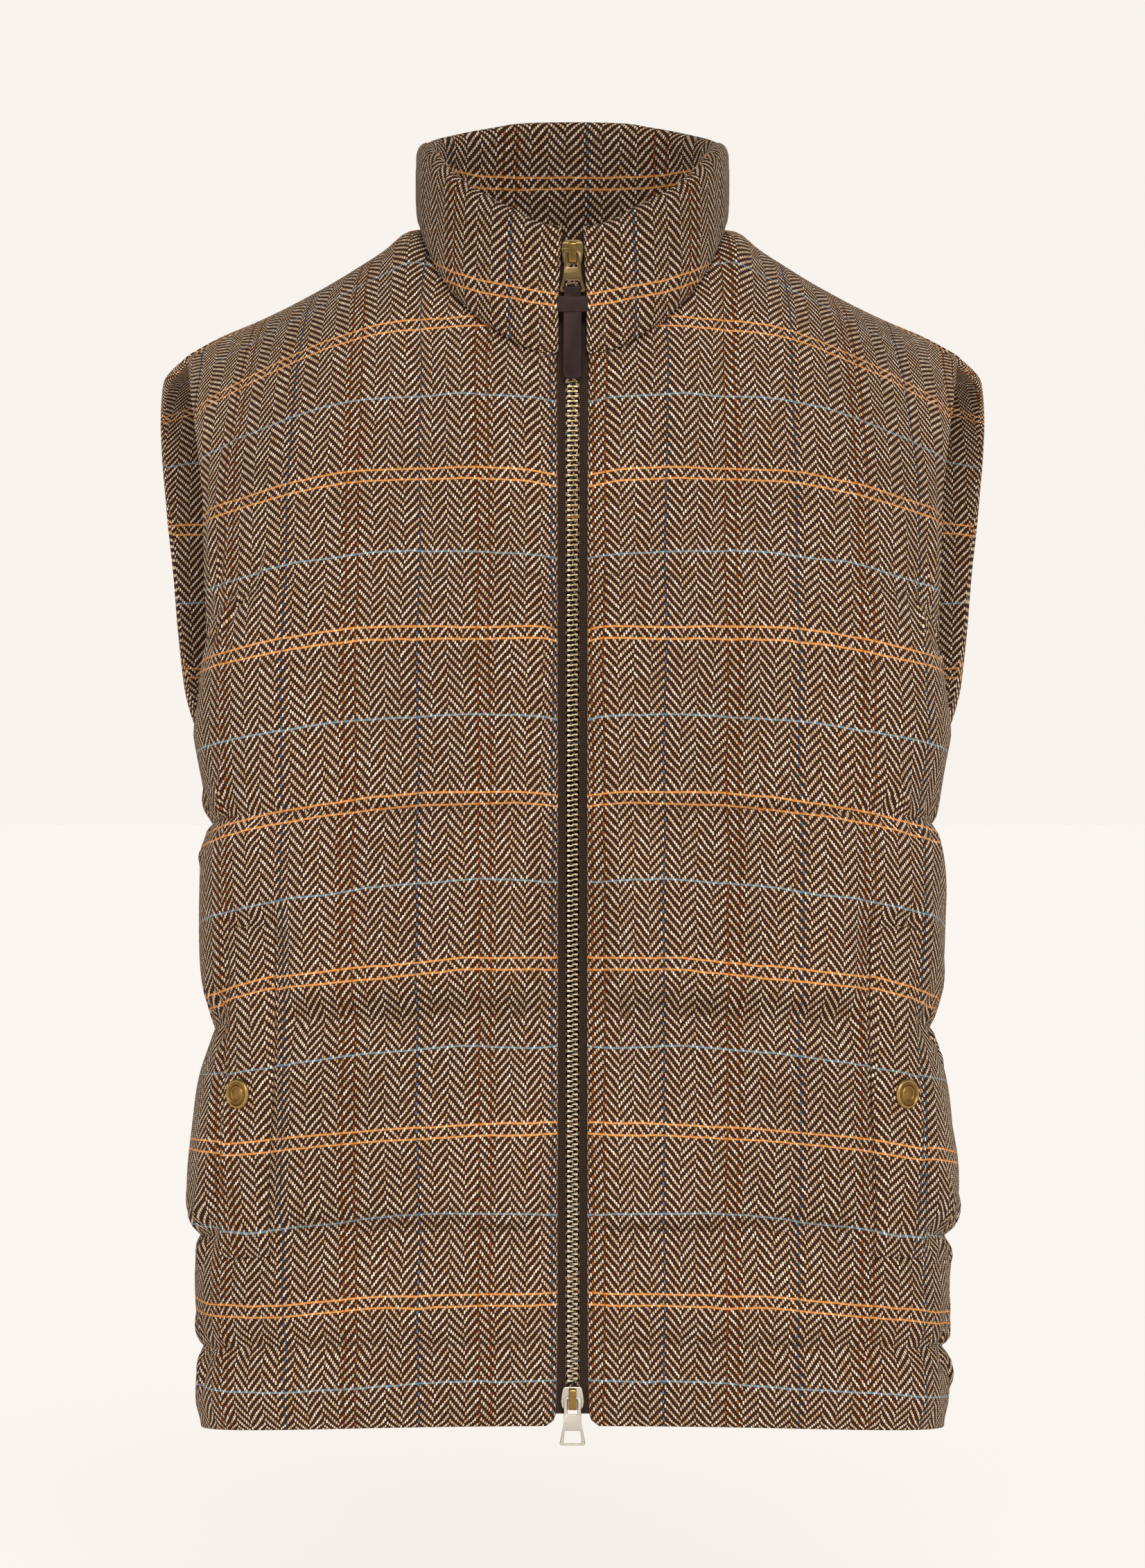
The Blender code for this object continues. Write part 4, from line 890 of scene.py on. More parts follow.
def frontOuter(seed):
    fill = quiltFill(frontHeights, frontShares, frontAround, frontSeamRow, topShares, True, seed)
    fill = fill + neckSwell(frontInner, True)
    # under a welt the cloth lies as the solids have it
    d = weltDip
    bed = np.maximum(plainFill(frontHeights, frontShares), weltShape["bed"])
    up, across = nearWelt(*d["bedUp"], *d["bedAcross"])
    fill = fill + (bed - fill) * (across * up)
    up, across = nearWelt(d["fadeUp"], 0.0, d["fadeAcross"], 0.0)
    beside = (frontShares - weltShape["from"] + d["edgeAside"]) * bodyCut["frontLength"]
    fill = fill - d["edge"] * d["deep"] * up * bell(beside, 0.0, d["edgeWide"])
    for end, share in d["ends"]:
        fill = fill - d["deep"] * share * across * bell(frontHeights, end, d["endWide"])[:, None]
    fill = fill * ease(*zipRise, (frontShares - frontShares[:, :1]) * 0.30)
    return frontInner + frontNormals * (bodyCut["wall"] + fill)[..., None]


def frontUv():
    u, v = clothMap(frontInner, frontNormals, frontInner[:, 0, 0])
    upper = ease(*droop["zipFrom"], frontHeights)[:, None]
    v = v + tableCurve(levelShiftAt, frontHeights)[:, None]
    v = v + tableCurve(sideDroopAt, frontHeights)[:, None] * tableCurve(aroundDroopAt, frontShares)
    v = v + droop["zip"] * upper * np.exp(-(u - u[:, :1]) / droop["zipReach"])
    return np.stack([u, v], axis=-1)


leftFlat = frontUv()
rightFlat = leftFlat.copy()
rightFlat[..., 1] += droop["right"] * ease(0.55, 0.90, frontShares) * ease(0.42, 0.50, -frontHeights)[:, None]
frontRounds = {"low": bodyCut["edgeRound"], "high": 0.0, "first": bodyCut["edgeRound"],
               "last": np.where(frontHeights > bodyCut["underarm"], bodyCut["edgeRound"], 0.0)}
leftOuter = frontOuter(1)
rightOuter = frontOuter(2)
frontLeftCloth = wallPiece("frontLeftCloth", frontInner, leftOuter, leftFlat,
                           leftFrontTweed, frontRounds)
frontRightCloth = wallPiece("frontRightCloth", mirrored(frontInner), mirrored(rightOuter),
                            rightFlat, rightFrontTweed, frontRounds, flip=True)
print("front panels made")


def backColumnsAt(height):
    return (denser(clothGrid["backColumns"] * 2 - 1, 0.3)[clothGrid["backColumns"] - 1:] * 2 - 1) * lastShare


backHalf, backHeights, backShares, backSeamRow, _ = plainInside(False, backColumnsAt)
backInner = np.concatenate([backHalf[:, :0:-1], mirrored(backHalf)], axis=1)
backNormals = gridNormals(backInner)
backSharesAll = np.concatenate([backShares[:, :0:-1], backShares], axis=1)
backAround = np.concatenate([backShares[:, :0:-1], -backShares], axis=1) * clothGrid["backRound"]
backFill = quiltFill(backHeights, backSharesAll, backAround, backSeamRow, topShares, False, 3)
backOuter = backInner + backNormals * (bodyCut["wall"] + backFill + neckSwell(backInner, False))[..., None]
halfU, halfV = clothMap(backHalf, gridNormals(backHalf) * -1.0, np.zeros(len(backHalf)))
backV = np.concatenate([halfV[:, :0:-1], halfV], axis=1) + droop["back"] * (
    tableCurve(sideDroopAt, backHeights)[:, None] * tableCurve(aroundDroopAt, backSharesAll))
backFlat = np.stack([np.concatenate([halfU[:, :0:-1], -halfU], axis=1), backV], axis=-1)
armholeRounds = np.where(backHeights > bodyCut["underarm"], bodyCut["edgeRound"], 0.0)
backRounds = {"low": bodyCut["edgeRound"], "high": 0.0, "first": armholeRounds, "last": armholeRounds}
backCloth = wallPiece("backCloth", backInner, backOuter, backFlat, backTweed, backRounds)
print("back panel made")


def treeOf(pieces):
    points = []
    faces = []
    for piece in pieces:
        start = len(points)
        points += [vertex.co.copy() for vertex in piece.data.vertices]
        faces += [[start + k for k in face.vertices] for face in piece.data.polygons]
    return BVHTree.FromPolygons(points, faces)


panelsTree = treeOf([frontLeftCloth, frontRightCloth, backCloth])

# Collar: a padded band on the neck ring

collarCut = {
    "wall": 0.011,
    "frontStations": 52,
    "backStations": 40,
    "frontZ": 0.0105,
    "settle": 0.30,              # how far the outer foot sinks to the panels
    "follow": 0.68,              # how far the weave's level lines follow the neck seam's rise
    "insideWide": 1.24,          # the inside's weave is coarser
    "insideTall": 1.05,
    "insideU": 0.0399,
    "insideV": 0.0107,
    "zipHalf": 0.0088,
    "zipWall": 0.62,             # share of the wall at the zip, and how far in it is whole
    "zipReach": 0.016,
    "lift": 0.0004,              # how far the smoothed foot may rise over the panels' edge
    "innerDrop": 0.004,
    "under": 0.9,                # share of the wall that stands on the panels' edge
    "outerAt": 0.97,
    "touch": 0.0002,
    "probe": {"steps": 7, "aside": 0.004, "top": 0.2, "deep": 0.03},
    "innerShare": 0.20,
    "outerShares": (0.25, 0.95),
    "waver": (77, 5, 0.03, 0.09),
    "waverBy": 0.04,
    "caps": ((0.90, 0.0005), (0.66, 0.0011), (0.30, 0.0014)),
    "capDrop": 0.004,
}
# share of the wall, share of the height, and how far off
collarInside = [(0.70, 0.0, 0.0), (0.30, 0.0, 0.0), (0.0, 0.0, 0.0), (0.0, 0.10, 0.0), (0.0, 0.22, 0.0),
                (0.0, 0.36, 0.0), (0.0, 0.5, 0.0), (0.0, 0.64, 0.0), (0.0, 0.78, 0.0), (0.0, 1.0, -0.012),
                (0.0, 1.0, -0.008), (0.03, 1.0, -0.0060), (0.09, 1.0, -0.0040), (0.18, 1.0, -0.0022),
                (0.32, 1.0, -0.0008), (0.5, 1.0, 0.0)]
collarOutside = [(0.68, 1.0, -0.0008), (0.82, 1.0, -0.0022), (0.92, 1.0, -0.0042), (0.98, 1.0, -0.0064),
                 (1.0, 1.0, -0.009), (1.005, 1.0, -0.014), (1.01, 0.68, 0.0), (1.012, 0.56, 0.0),
                 (1.012, 0.44, 0.0), (1.01, 0.34, 0.0), (0.99, 0.24, 0.0), (0.96, 0.15, 0.0),
                 (0.91, 0.08, 0.0), (0.83, 0.03, 0.0)]


def ringPoint(turn, front):
    r = neckRing
    across = math.sin(turn * math.pi / 2)
    out = max(1.0 - across ** r["power"][front], 0.0) ** (1 / r["power"][front])
    if front:
        height = bodyCut["neckFrontZ"] + (r["sideZ"] - bodyCut["neckFrontZ"]) * (1.0 - out) ** 0.72
    else:
        height = r["sideZ"] + (r["backZ"] - r["sideZ"]) * out
    return Vector((r["half"] * across, r["depth"][front] * out * (-1.0 if front else 1.0), height)), out


def collarStations():
    def evenTurns(start, front, count):
        turns = np.linspace(start, 1.0, 401)
        run = runOf(np.array([list(ringPoint(turn, front)[0]) for turn in turns]))
        return [float(np.interp(run[-1] * k / count, run, turns)) for k in range(count + 1)]

    start = math.asin(collarCut["zipHalf"] / neckRing["half"]) / (math.pi / 2)
    fronts = evenTurns(start, True, collarCut["frontStations"])
    backs = evenTurns(0.0, False, collarCut["backStations"])
    stations = [(turn, True, 1) for turn in fronts] + [(turn, False, 1) for turn in reversed(backs[:-1])]
    stations += [(turn, False, -1) for turn in backs[1:]]
    return stations + [(turn, True, -1) for turn in reversed(fronts[:-1])]


def seamTop(foot, out, reach):
    # the highest point of the panels' edge under a strip of the collar's foot
    probe = collarCut["probe"]
    heights = []
    along = Vector((-out.y, out.x, 0.0))
    for step in range(probe["steps"]):
        for aside in (-probe["aside"], 0.0, probe["aside"]):
            at = foot + out * (reach * step / (probe["steps"] - 1) - collarCut["touch"]) + along * aside
            hit = panelsTree.ray_cast(Vector((at.x, at.y, probe["top"])), Vector((0.0, 0.0, -1.0)))[0]
            if hit is not None and hit.z > foot.z - probe["deep"]:
                heights.append(hit.z)
    return max(heights, default=foot.z)


def collarPiece():
    c = collarCut
    stations = collarStations()
    ring = []
    rims = []
    seams = []
    for turn, front, sign in stations:
        p, out = ringPoint(turn, front)
        ring.append(Vector((p.x * sign, p.y, p.z)))
        rims.append(float(tableCurve(collarRimAt, 1.0 - out if front else 1.0 + out)))
        seams.append(p.z)
    lows, outerLows, innerLows, outs, thicks = [], [], [], [], []
    for k in range(len(stations)):
        run = ring[min(k + 1, len(ring) - 1)] - ring[max(k - 1, 0)]
        out = Vector((run.y, -run.x, 0.0)).normalized()
        gone = (ring[k] - (ring[0] if k < len(ring) / 2 else ring[-1])).length
        thick = c["wall"] * (c["zipWall"] + (1.0 - c["zipWall"]) * float(ease(0.0, c["zipReach"], gone)))
        outs.append(out)
        thicks.append(thick)
        lows.append(seamTop(ring[k], out, thick * c["under"]))
        innerLows.append(seamTop(ring[k], out, c["touch"]))
        outerLows.append(seamTop(ring[k] + out * (thick * c["outerAt"]), out, c["touch"]))

    def smoothed(values):
        return np.convolve(np.pad(values, 3, mode="edge"), np.ones(7) / 7, mode="valid")

    lows = np.array(lows)
    lows = np.clip(smoothed(lows), lows, lows + c["lift"]) + bodyCut["gap"]
    outerLows = np.minimum(smoothed(outerLows) + bodyCut["gap"], lows)
    outerLows = lows + (outerLows - lows) * c["settle"]
    innerLows = np.clip(smoothed(innerLows) + bodyCut["gap"], lows - c["innerDrop"], lows)
    profile = collarInside + collarOutside
    chartFrom = len(collarInside) - 1
    run = np.concatenate([[0.0], np.cumsum([(b - a).length for a, b in zip(ring[:-1], ring[1:])])])
    waves = softWaves(*c["waver"])
    points = []
    for k in range(len(stations)):
        line = []
        base = Vector((ring[k].x, ring[k].y, 0.0))
        swell = 1.0 + c["waverBy"] * float(waveValue(waves, run[k]))
        for wallShare, share, off in profile:
            foot = lows[k] + (outerLows[k] - lows[k]) * float(ease(*c["outerShares"], wallShare))
            foot = foot - (lows[k] - innerLows[k]) * float(1.0 - ease(0.0, c["innerShare"], wallShare))
            height = foot + (rims[k] - foot) * share + off
            reach = wallShare * (swell if wallShare > 0.6 and 0.03 < share < 1.0 else 1.0)
            at = base + outs[k] * (thicks[k] * reach)
            if k in (0, len(stations) - 1):
                at.x = math.copysign(float(tableCurve(frontEdgeAt, height)), ring[k].x)
            line.append((at.x, at.y, height))
        points.append(line)
    points = np.array(points)
    count, around = points.shape[:2]
    # outside chart: up from the outer foot and over the rim; inside chart: up from the inner foot
    steps = np.linalg.norm(np.roll(points, -1, axis=1) - points, axis=-1)
    fromOuterFoot = np.cumsum(steps[:, ::-1], axis=1)[:, ::-1]
    fromInnerFoot = np.concatenate([np.zeros((count, 3)), np.cumsum(steps[:, 2:-1], axis=1)], axis=1)
    fromFront = np.minimum(run, run[-1] - run)
    outsideU = np.repeat((fromFront + c["zipHalf"])[:, None], around, axis=1)
    fall = (outerLows - c["follow"] * (np.array(seams) - seams[0]))[:, None]
    outsideChart = np.stack([outsideU, fall + fromOuterFoot], axis=-1)
    insideU = np.repeat((run - run[-1] / 2)[:, None], around, axis=1) / c["insideWide"] + c["insideU"]
    insideV = (innerLows[:, None] + fromInnerFoot) / c["insideTall"] + c["insideV"]
    insideChart = np.stack([insideU, insideV], axis=-1)
    index = np.arange(count * around).reshape(count, around)
    faces = []
    corners = []
    for n in range(around):
        m = (n + 1) % around
        chart = outsideChart if n >= chartFrom else insideChart
        edge = chart[:, m] if m else outsideChart[:, n] - np.array([0.0, 1.0]) * steps[:, n, None]
        faces.append(np.stack([index[:-1, n], index[1:, n], index[1:, m], index[:-1, m]], axis=-1))
        corners.append(np.stack([chart[:-1, n], chart[1:, n], edge[1:], edge[:-1]], axis=1))
    faces = np.vstack(faces).tolist()
    corners = np.vstack(corners).tolist()
    allPoints = points.reshape(-1, 3).tolist()
    # closed, rounded ends at the zip

    def capFace(quad, across):
        flat = [(across, allPoints[q][2]) for q in quad]
        faces.append(quad[::-1] if end else quad)
        corners.append(flat[::-1] if end else flat)

    for end in (0, count - 1):
        toZip = np.array([-math.copysign(1.0, points[end, 0, 0]), 0.0, 0.0])
        low, high = points[end, :, 2].min(), points[end, :, 2].max()
        middleY = (points[end, :, 1].min() + points[end, :, 1].max()) / 2
        a = index[end].tolist()
        for shrink, push in c["caps"]:
            cap = points[end].copy()
            cap[:, 1] = middleY + (cap[:, 1] - middleY) * shrink
            drop = (1 - shrink) * c["capDrop"]
            cap[:, 2] = np.clip(cap[:, 2], low + drop, high - drop)
            b = list(range(len(allPoints), len(allPoints) + around))
            allPoints += (cap + toZip * push).tolist()
            for n in range(around):
                m = (n + 1) % around
                capFace([a[m], a[n], b[n], b[m]], c["zipHalf"] - push - (1 - shrink) * 0.003)
            a = b
        for n in range(around // 2 - 1):
            capFace([a[n + 1], a[n], a[around - 1 - n], a[around - 2 - n]], 0.004)
    return clothObject("collarCloth", np.array(allPoints), np.array(faces), np.array(corners),
                       collarTweed, 80.0)


collarCloth = collarPiece()
print("collar made")

# Pocket welts: folded cloth on the front panels


def bridged(grid):
    # the stiff welt spans the dips of the cloth under it
    span = weltShape["span"]
    ends = [grid[:1] * 2 - grid[span:0:-1], grid, grid[-1:] * 2 - grid[-2:-span - 2:-1]]
    longer = np.concatenate(ends)
    weights = np.hanning(2 * span + 3)[1:-1]
    weights /= weights.sum()
    return sum(weight * longer[k:k + len(grid)] for k, weight in enumerate(weights))


def weltPiece(name, outer, chart, flip, material):
    w = weltShape
    free = np.linspace(0.0, 1.0, w["columns"])
    shares = w["from"] + (w["to"] - w["from"]) * free
    rows = np.nonzero((frontHeights >= w["bottom"] - 1e-6) & (frontHeights <= w["top"] + 1e-6))[0]
    lift = bodyCut["gap"] + w["lift"]
    least, more = w["crown"]
    inner, over, flats = [], [], []
    for n, i in enumerate(rows):
        base, normal, flat = (read(shares, frontShares[i], table[i])
                              for table in (outer, frontNormals, chart))
        rise = n / (len(rows) - 1)
        bow = math.sin(math.pi * rise)
        crown = w["wall"] * (least + more * np.sin(math.pi * free) ** 0.5 * max(bow, 0.0) ** 0.4)
        gape = w["gape"] * (free ** 3) * bow * (w["gapeHigh"] - rise)
        inner.append(base + normal * (lift + gape)[:, None])
        over.append(base + normal * (lift + gape + crown)[:, None])
        flats.append(flat)
    inner, over, flats = bridged(np.array(inner)), bridged(np.array(over)), np.array(flats)
    centre = flats.mean(axis=(0, 1))
    turn = math.radians(w["turn"])
    spin = np.array([[math.cos(turn), math.sin(turn)], [-math.sin(turn), math.cos(turn)]])
    flats = (flats - centre) @ spin + centre + np.array(w["shift"])
    if flip:
        inner, over = mirrored(inner), mirrored(over)
    rounds = {"low": w["rim"], "high": w["rim"], "first": 0.0, "last": w["freeRim"]}
    return wallPiece(name, inner, over, flats, material, rounds, flip=flip)


weltLeft = weltPiece("weltLeft", leftOuter, leftFlat, False, leftFrontTweed)
weltRight = weltPiece("weltRight", rightOuter, rightFlat, True, rightFrontTweed)
print("welts made")

# Zip tapes, with a woven rib beside the teeth

zipShape = {"tapeWall": 0.0010, "tapeBottom": -0.6500, "tapeTop": 0.0060, "tapeRows": 190, "tapeBack": 0.0005,
            "cord": (0.0003, 0.0047, 0.0008), "groove": (0.0002, 0.0074, 0.0003),
            "chainBottom": -0.6320, "chainTop": -0.0070, "chainRows": 260, "chainLift": 0.0001,
            "pitch": 0.00277, "start": 0.0005}
tapeColumns = [0.0038, 0.0044, 0.0052, 0.0062, 0.0072, 0.0078, 0.0092, 0.0110, 0.0130, 0.0150, 0.0170]


def frontLine(x):
    share = max(x / bodyCut["frontLength"], 0.002)
    low = [bodyPoints(np.array([share]), h, True)[0] for h in np.linspace(hemZ, bodyCut["underarm"], 60)]
    path = upperColumns(np.array([share, 0.9]), True)[0]
    power = neckRing["power"][True]
    bend = (1.0 - (x / neckRing["half"]) ** power) ** (1 / power)
    line = [(p[2], p[1]) for p in low] + [(p[2], p[1]) for p in path[1:]]
    return np.array(line + [(collarCut["frontZ"], -neckRing["depth"][True] * bend)])


def lineY(line, height):
    return float(np.interp(height, line[:, 0], line[:, 1]))


centreLine = frontLine(0.0)


def tapePiece(name, sign):
    xs = np.array(tapeColumns)
    lines = [frontLine(x) for x in xs]
    heights = np.linspace(zipShape["tapeBottom"], zipShape["tapeTop"], zipShape["tapeRows"])
    (cord, cordAt, cordWide), (groove, grooveAt, grooveWide) = zipShape["cord"], zipShape["groove"]
    raised = cord * bell(xs, cordAt, cordWide) - groove * bell(xs, grooveAt, grooveWide)
    inner, outer, flat = [], [], []
    for height in heights:
        ys = np.array([lineY(line, height) for line in lines]) + bodyCut["gap"] + zipShape["tapeBack"]
        level = np.full_like(xs, height)
        inner.append(np.stack([xs * sign, ys + zipShape["tapeWall"], level], axis=-1))
        outer.append(np.stack([xs * sign, ys - raised, level], axis=-1))
        flat.append(np.stack([xs, level], axis=-1))
    flat = np.array(flat)
    rounds = {"low": 0.0, "high": 0.0, "first": 0.0, "last": 0.0}
    return wallPiece(name, np.array(inner), np.array(outer), flat, zipTapeWeave, rounds, flip=sign < 0)


tapeLeft = tapePiece("tapeLeft", 1)
tapeRight = tapePiece("tapeRight", -1)
print("tapes made")

# Geometry Nodes: a small solid repeated along curves


def repeatTree():
    tree = bpy.data.node_groups.new("repeatAlongCurve", "GeometryNodeTree")
    tree.interface.new_socket("Geometry", in_out="OUTPUT", socket_type="NodeSocketGeometry")
    for label, kind in (("Curves", "Geometry"), ("Pitch", "Float"), ("Start", "Float"), ("Turn", "Float"),
                        ("Back", "Vector"), ("Unit", "Object"), ("Material", "Material")):
        tree.interface.new_socket(label, in_out="INPUT", socket_type="NodeSocket" + kind)
    add = tree.nodes.new
    start, end = add("NodeGroupInput"), add("NodeGroupOutput")
    trim, sample = add("GeometryNodeTrimCurve"), add("GeometryNodeResampleCurve")
    trim.mode = sample.mode = "LENGTH"
    tangent, lengthOf = add("GeometryNodeInputTangent"), add("GeometryNodeSplineLength")
    turn, face = add("FunctionNodeAlignRotationToVector"), add("FunctionNodeAlignRotationToVector")
    turn.axis, face.axis, face.pivot_axis = "Z", "Y", "Z"
    spin, spinBy = add("FunctionNodeRotateRotation"), add("FunctionNodeAxisAngleToRotation")
    spin.rotation_space = "LOCAL"
    spinBy.inputs["Axis"].default_value = (0.0, 0.0, 1.0)
    unit, place = add("GeometryNodeObjectInfo"), add("GeometryNodeInstanceOnPoints")
    real, paint = add("GeometryNodeRealizeInstances"), add("GeometryNodeSetMaterial")
    for source, outlet, target, inlet in (
            (start, "Curves", trim, "Curve"), (start, "Start", trim, "Start"),
            (lengthOf, "Length", trim, "End"), (trim, "Curve", sample, "Curve"),
            (start, "Pitch", sample, "Length"),
            (sample, "Curve", place, "Points"), (start, "Unit", unit, "Object"),
            (unit, "Geometry", place, "Instance"), (tangent, "Tangent", turn, "Vector"),
            (turn, "Rotation", face, "Rotation"), (start, "Back", face, "Vector"),
            (face, "Rotation", spin, "Rotation"), (start, "Turn", spinBy, "Angle"),
            (spinBy, "Rotation", spin, "Rotate By"), (spin, "Rotation", place, "Rotation"),
            (place, "Instances", real, "Geometry"), (real, "Geometry", paint, "Geometry"),
            (start, "Material", paint, "Material"), (paint, "Geometry", end, "Geometry")):
        socket = next(s for s in target.inputs if s.name == inlet and s.enabled)
        tree.links.new(source.outputs[outlet], socket)
    return tree


repeatNodes = repeatTree()


def evaluatedMesh(holder):
    bpy.context.view_layer.update()
    graph = bpy.context.evaluated_depsgraph_get()
    mesh = bpy.data.meshes.new_from_object(holder.evaluated_get(graph), depsgraph=graph)
    bpy.data.objects.remove(holder, do_unlink=True)
    return mesh


def repeated(name, lines, unit, pitch, start, turn, material):
    data = bpy.data.curves.new(name, "CURVE")
    data.dimensions = "3D"
    for points in lines:
        spline = data.splines.new("POLY")
        spline.points.add(len(points) - 1)
        spline.points.foreach_set("co", np.hstack([np.array(points), np.ones((len(points), 1))]).ravel())
    holder = placed(name, data)
    step = holder.modifiers.new("repeat", "NODES")
    step.node_group = repeatNodes
    names = {item.name: item.identifier for item in repeatNodes.interface.items_tree
             if item.in_out == "INPUT"}
    for key, value in (("Pitch", pitch), ("Start", start), ("Turn", turn), ("Back", (0.0, 1.0, 0.0)),
                       ("Unit", unit), ("Material", material)):
        step[names[key]] = value
    return evaluatedMesh(holder)


def asPiece(name, meshes, unit):
    bpy.data.objects.remove(unit, do_unlink=True)
    bm = bmesh.new()
    for mesh in meshes:
        bm.from_mesh(mesh)
    return placed(name, meshOf(name, bm, *meshes[0].materials))


# Zip teeth: seen from the front, a wide foot on the tape and a narrow nose over the middle
toothShape = {
    "outline": [(-0.0031, 0.00046), (-0.0028, 0.00062), (-0.0019, 0.00064), (-0.0014, 0.00052),
                (-0.0008, 0.00036), (0.0000, 0.00034), (0.00040, 0.00026), (0.00060, 0.0)],
    "middle": -0.0016,
    "depths": [(-0.0013, 0.78), (-0.0011, 1.0), (0.0006, 1.0), (0.0009, 0.72)],
}


def toothMesh():
    outline, depths, middle = toothShape["outline"], toothShape["depths"], toothShape["middle"]
    loop = outline + [(x, -z) for x, z in reversed(outline[:-1])]
    points = [(middle + (x - middle) * (0.5 + share / 2), depth, z * share)
              for depth, share in depths for x, z in loop]
    count = len(loop)
    faces = [(a + n, a + (n + 1) % count, a + (n + 1) % count + count, a + n + count)
             for a in range(0, len(points) - count, count) for n in range(count)]
    faces += [tuple(range(count))[::-1], tuple(range(len(points) - count, len(points)))]
    mesh = bpy.data.meshes.new("tooth")
    mesh.from_pydata(points, [], faces)
    bm = bmesh.new()
    bm.from_mesh(mesh)
    bmesh.ops.recalc_face_normals(bm, faces=bm.faces)
    return meshOf("tooth", bm, angle=50)


def zipTeethPiece():
    z = zipShape
    unit = placed("toothUnit", toothMesh())
    heights = np.linspace(z["chainBottom"], z["chainTop"], z["chainRows"])
    line = [(0.0, lineY(centreLine, h) + z["chainLift"], h) for h in heights]
    rows = [repeated("teethRows", [line], unit, z["pitch"], z["start"] + shift, turn, brass["toothBrass"])
            for shift, turn in ((0.0, 0.0), (z["pitch"] / 2, math.pi))]
    return asPiece("zipTeeth", rows, unit)


zipTeeth = zipTeethPiece()
print("zip teeth made", len(zipTeeth.data.polygons))

# Quilting stitches, sunk in the seams
stitchShape = {"length": 0.0022, "pitch": 0.0033, "radius": 0.00026, "flat": 0.8, "lift": 0.00005}


def stitchMesh():
    s = stitchShape
    bm = bmesh.new()
    bmesh.ops.create_icosphere(bm, subdivisions=1, radius=1.0)
    bmesh.ops.scale(bm, vec=(s["radius"], s["radius"] * s["flat"], s["length"] / 2), verts=bm.verts)
    return meshOf("stitch", bm, angle=180)


def quiltStitches():
    unit = placed("stitchUnit", stitchMesh())
    lines = []
    for outer, normals, heights, turned in ((leftOuter, frontNormals, frontHeights, False),
                                            (rightOuter, frontNormals, frontHeights, True),
                                            (backOuter, backNormals, backHeights, False)):
        for seam in quiltSeams:
            i = int(np.argmin(np.abs(heights - seam)))
            line = (outer[i] + normals[i] * stitchShape["lift"])[2:-2]
            lines.append(mirrored(line) if turned else line)
    stitches = repeated("seamLines", lines, unit, stitchShape["pitch"], 0.0, 0.0, brownThread)
    return asPiece("quiltStitches", [stitches], unit)


seamStitches = quiltStitches()
print("stitches made", len(seamStitches.data.polygons))

# Sliders, tabs, leather pull and snaps

pullShape = {
    "topPivotZ": -0.0037, "bottomPivotZ": -0.6409, "tabPivot": 0.0043,
    "plateBack": 0.0011, "plateFront": 0.0028, "bridgeFront": 0.0064, "bridgeHalf": 0.0021,
    "bottomStretch": 1.28, "leatherLean": 2.0, "leatherHalf": 0.0050, "eyeDrop": 0.0220,
}
topY = lineY(centreLine, pullShape["topPivotZ"])
bottomY = lineY(centreLine, pullShape["bottomPivotZ"])


def rounded(points, radius, steps=5):
    made = []
    total = len(points)
    for k in range(total):
        corner = Vector(points[k])
        before = Vector(points[k - 1]) - corner
        after = Vector(points[(k + 1) % total]) - corner
        reach = min(radius, before.length * 0.45, after.length * 0.45)
        start = corner + before.normalized() * reach
        end = corner + after.normalized() * reach
        for step in range(steps + 1):
            t = step / steps
            place = start * (1 - t) ** 2 + corner * (2 * t * (1 - t)) + end * t ** 2
            made.append((place.x, place.y))
    return made


def bothSides(half):
    return half + [(-x, y) for x, y in reversed(half)]


def curveMesh(outlines, thickness, bevel, material, place, tube=False):
    # a flat outline with holes, given a thickness and rounded edges, or a round bead along it
    data = bpy.data.curves.new("outline", "CURVE")
    data.dimensions = "3D" if tube else "2D"
    data.fill_mode = "FULL" if tube else "BOTH"
    if not tube:
        data.extrude = thickness / 2 - bevel
        data.offset = -bevel
    data.bevel_depth = bevel
    data.bevel_resolution = 2
    for outline in outlines:
        spline = data.splines.new("POLY")
        spline.points.add(len(outline) - 1)
        for point, (x, y) in zip(spline.points, outline):
            point.co = (x, y, 0.0, 1.0)
        spline.use_cyclic_u = True
    bm = bmesh.new()
    bm.from_mesh(evaluatedMesh(placed("outline", data)))
    bmesh.ops.remove_doubles(bm, verts=bm.verts, dist=0.00001)
    bmesh.ops.recalc_face_normals(bm, faces=bm.faces)
    bmesh.ops.transform(bm, matrix=place, verts=bm.verts)
    return meshOf("outline", bm, material)


def mergedPiece(name, parts, smoothAngle=35.0):
    bm = bmesh.new()
    paints = []
    for mesh in parts:
        paint = mesh.materials[0]
        if paint not in paints:
            paints.append(paint)
        start = len(bm.faces)
        bm.from_mesh(mesh)
        bm.faces.ensure_lookup_table()
        for face in bm.faces[start:]:
            face.material_index = paints.index(paint)
    return placed(name, meshOf(name, bm, *paints, angle=smoothAngle))


def blockMesh(low, high, bevel, material, place=Matrix()):
    bm = bmesh.new()
    bmesh.ops.create_cube(bm, size=1.0)
    bmesh.ops.scale(bm, vec=Vector(high) - Vector(low), verts=bm.verts)
    bmesh.ops.translate(bm, vec=(Vector(high) + Vector(low)) / 2, verts=bm.verts)
    bmesh.ops.bevel(bm, geom=list(bm.edges), offset=bevel, segments=3, affect="EDGES", profile=0.5)
    bmesh.ops.transform(bm, matrix=place, verts=bm.verts)
    return meshOf("block", bm, material)


def standing(y, z):
    # outline's x across, its y up, its thickness towards the back
    return Matrix.Translation((0.0, y, z)) @ Matrix.Rotation(math.radians(90.0), 4, "X")


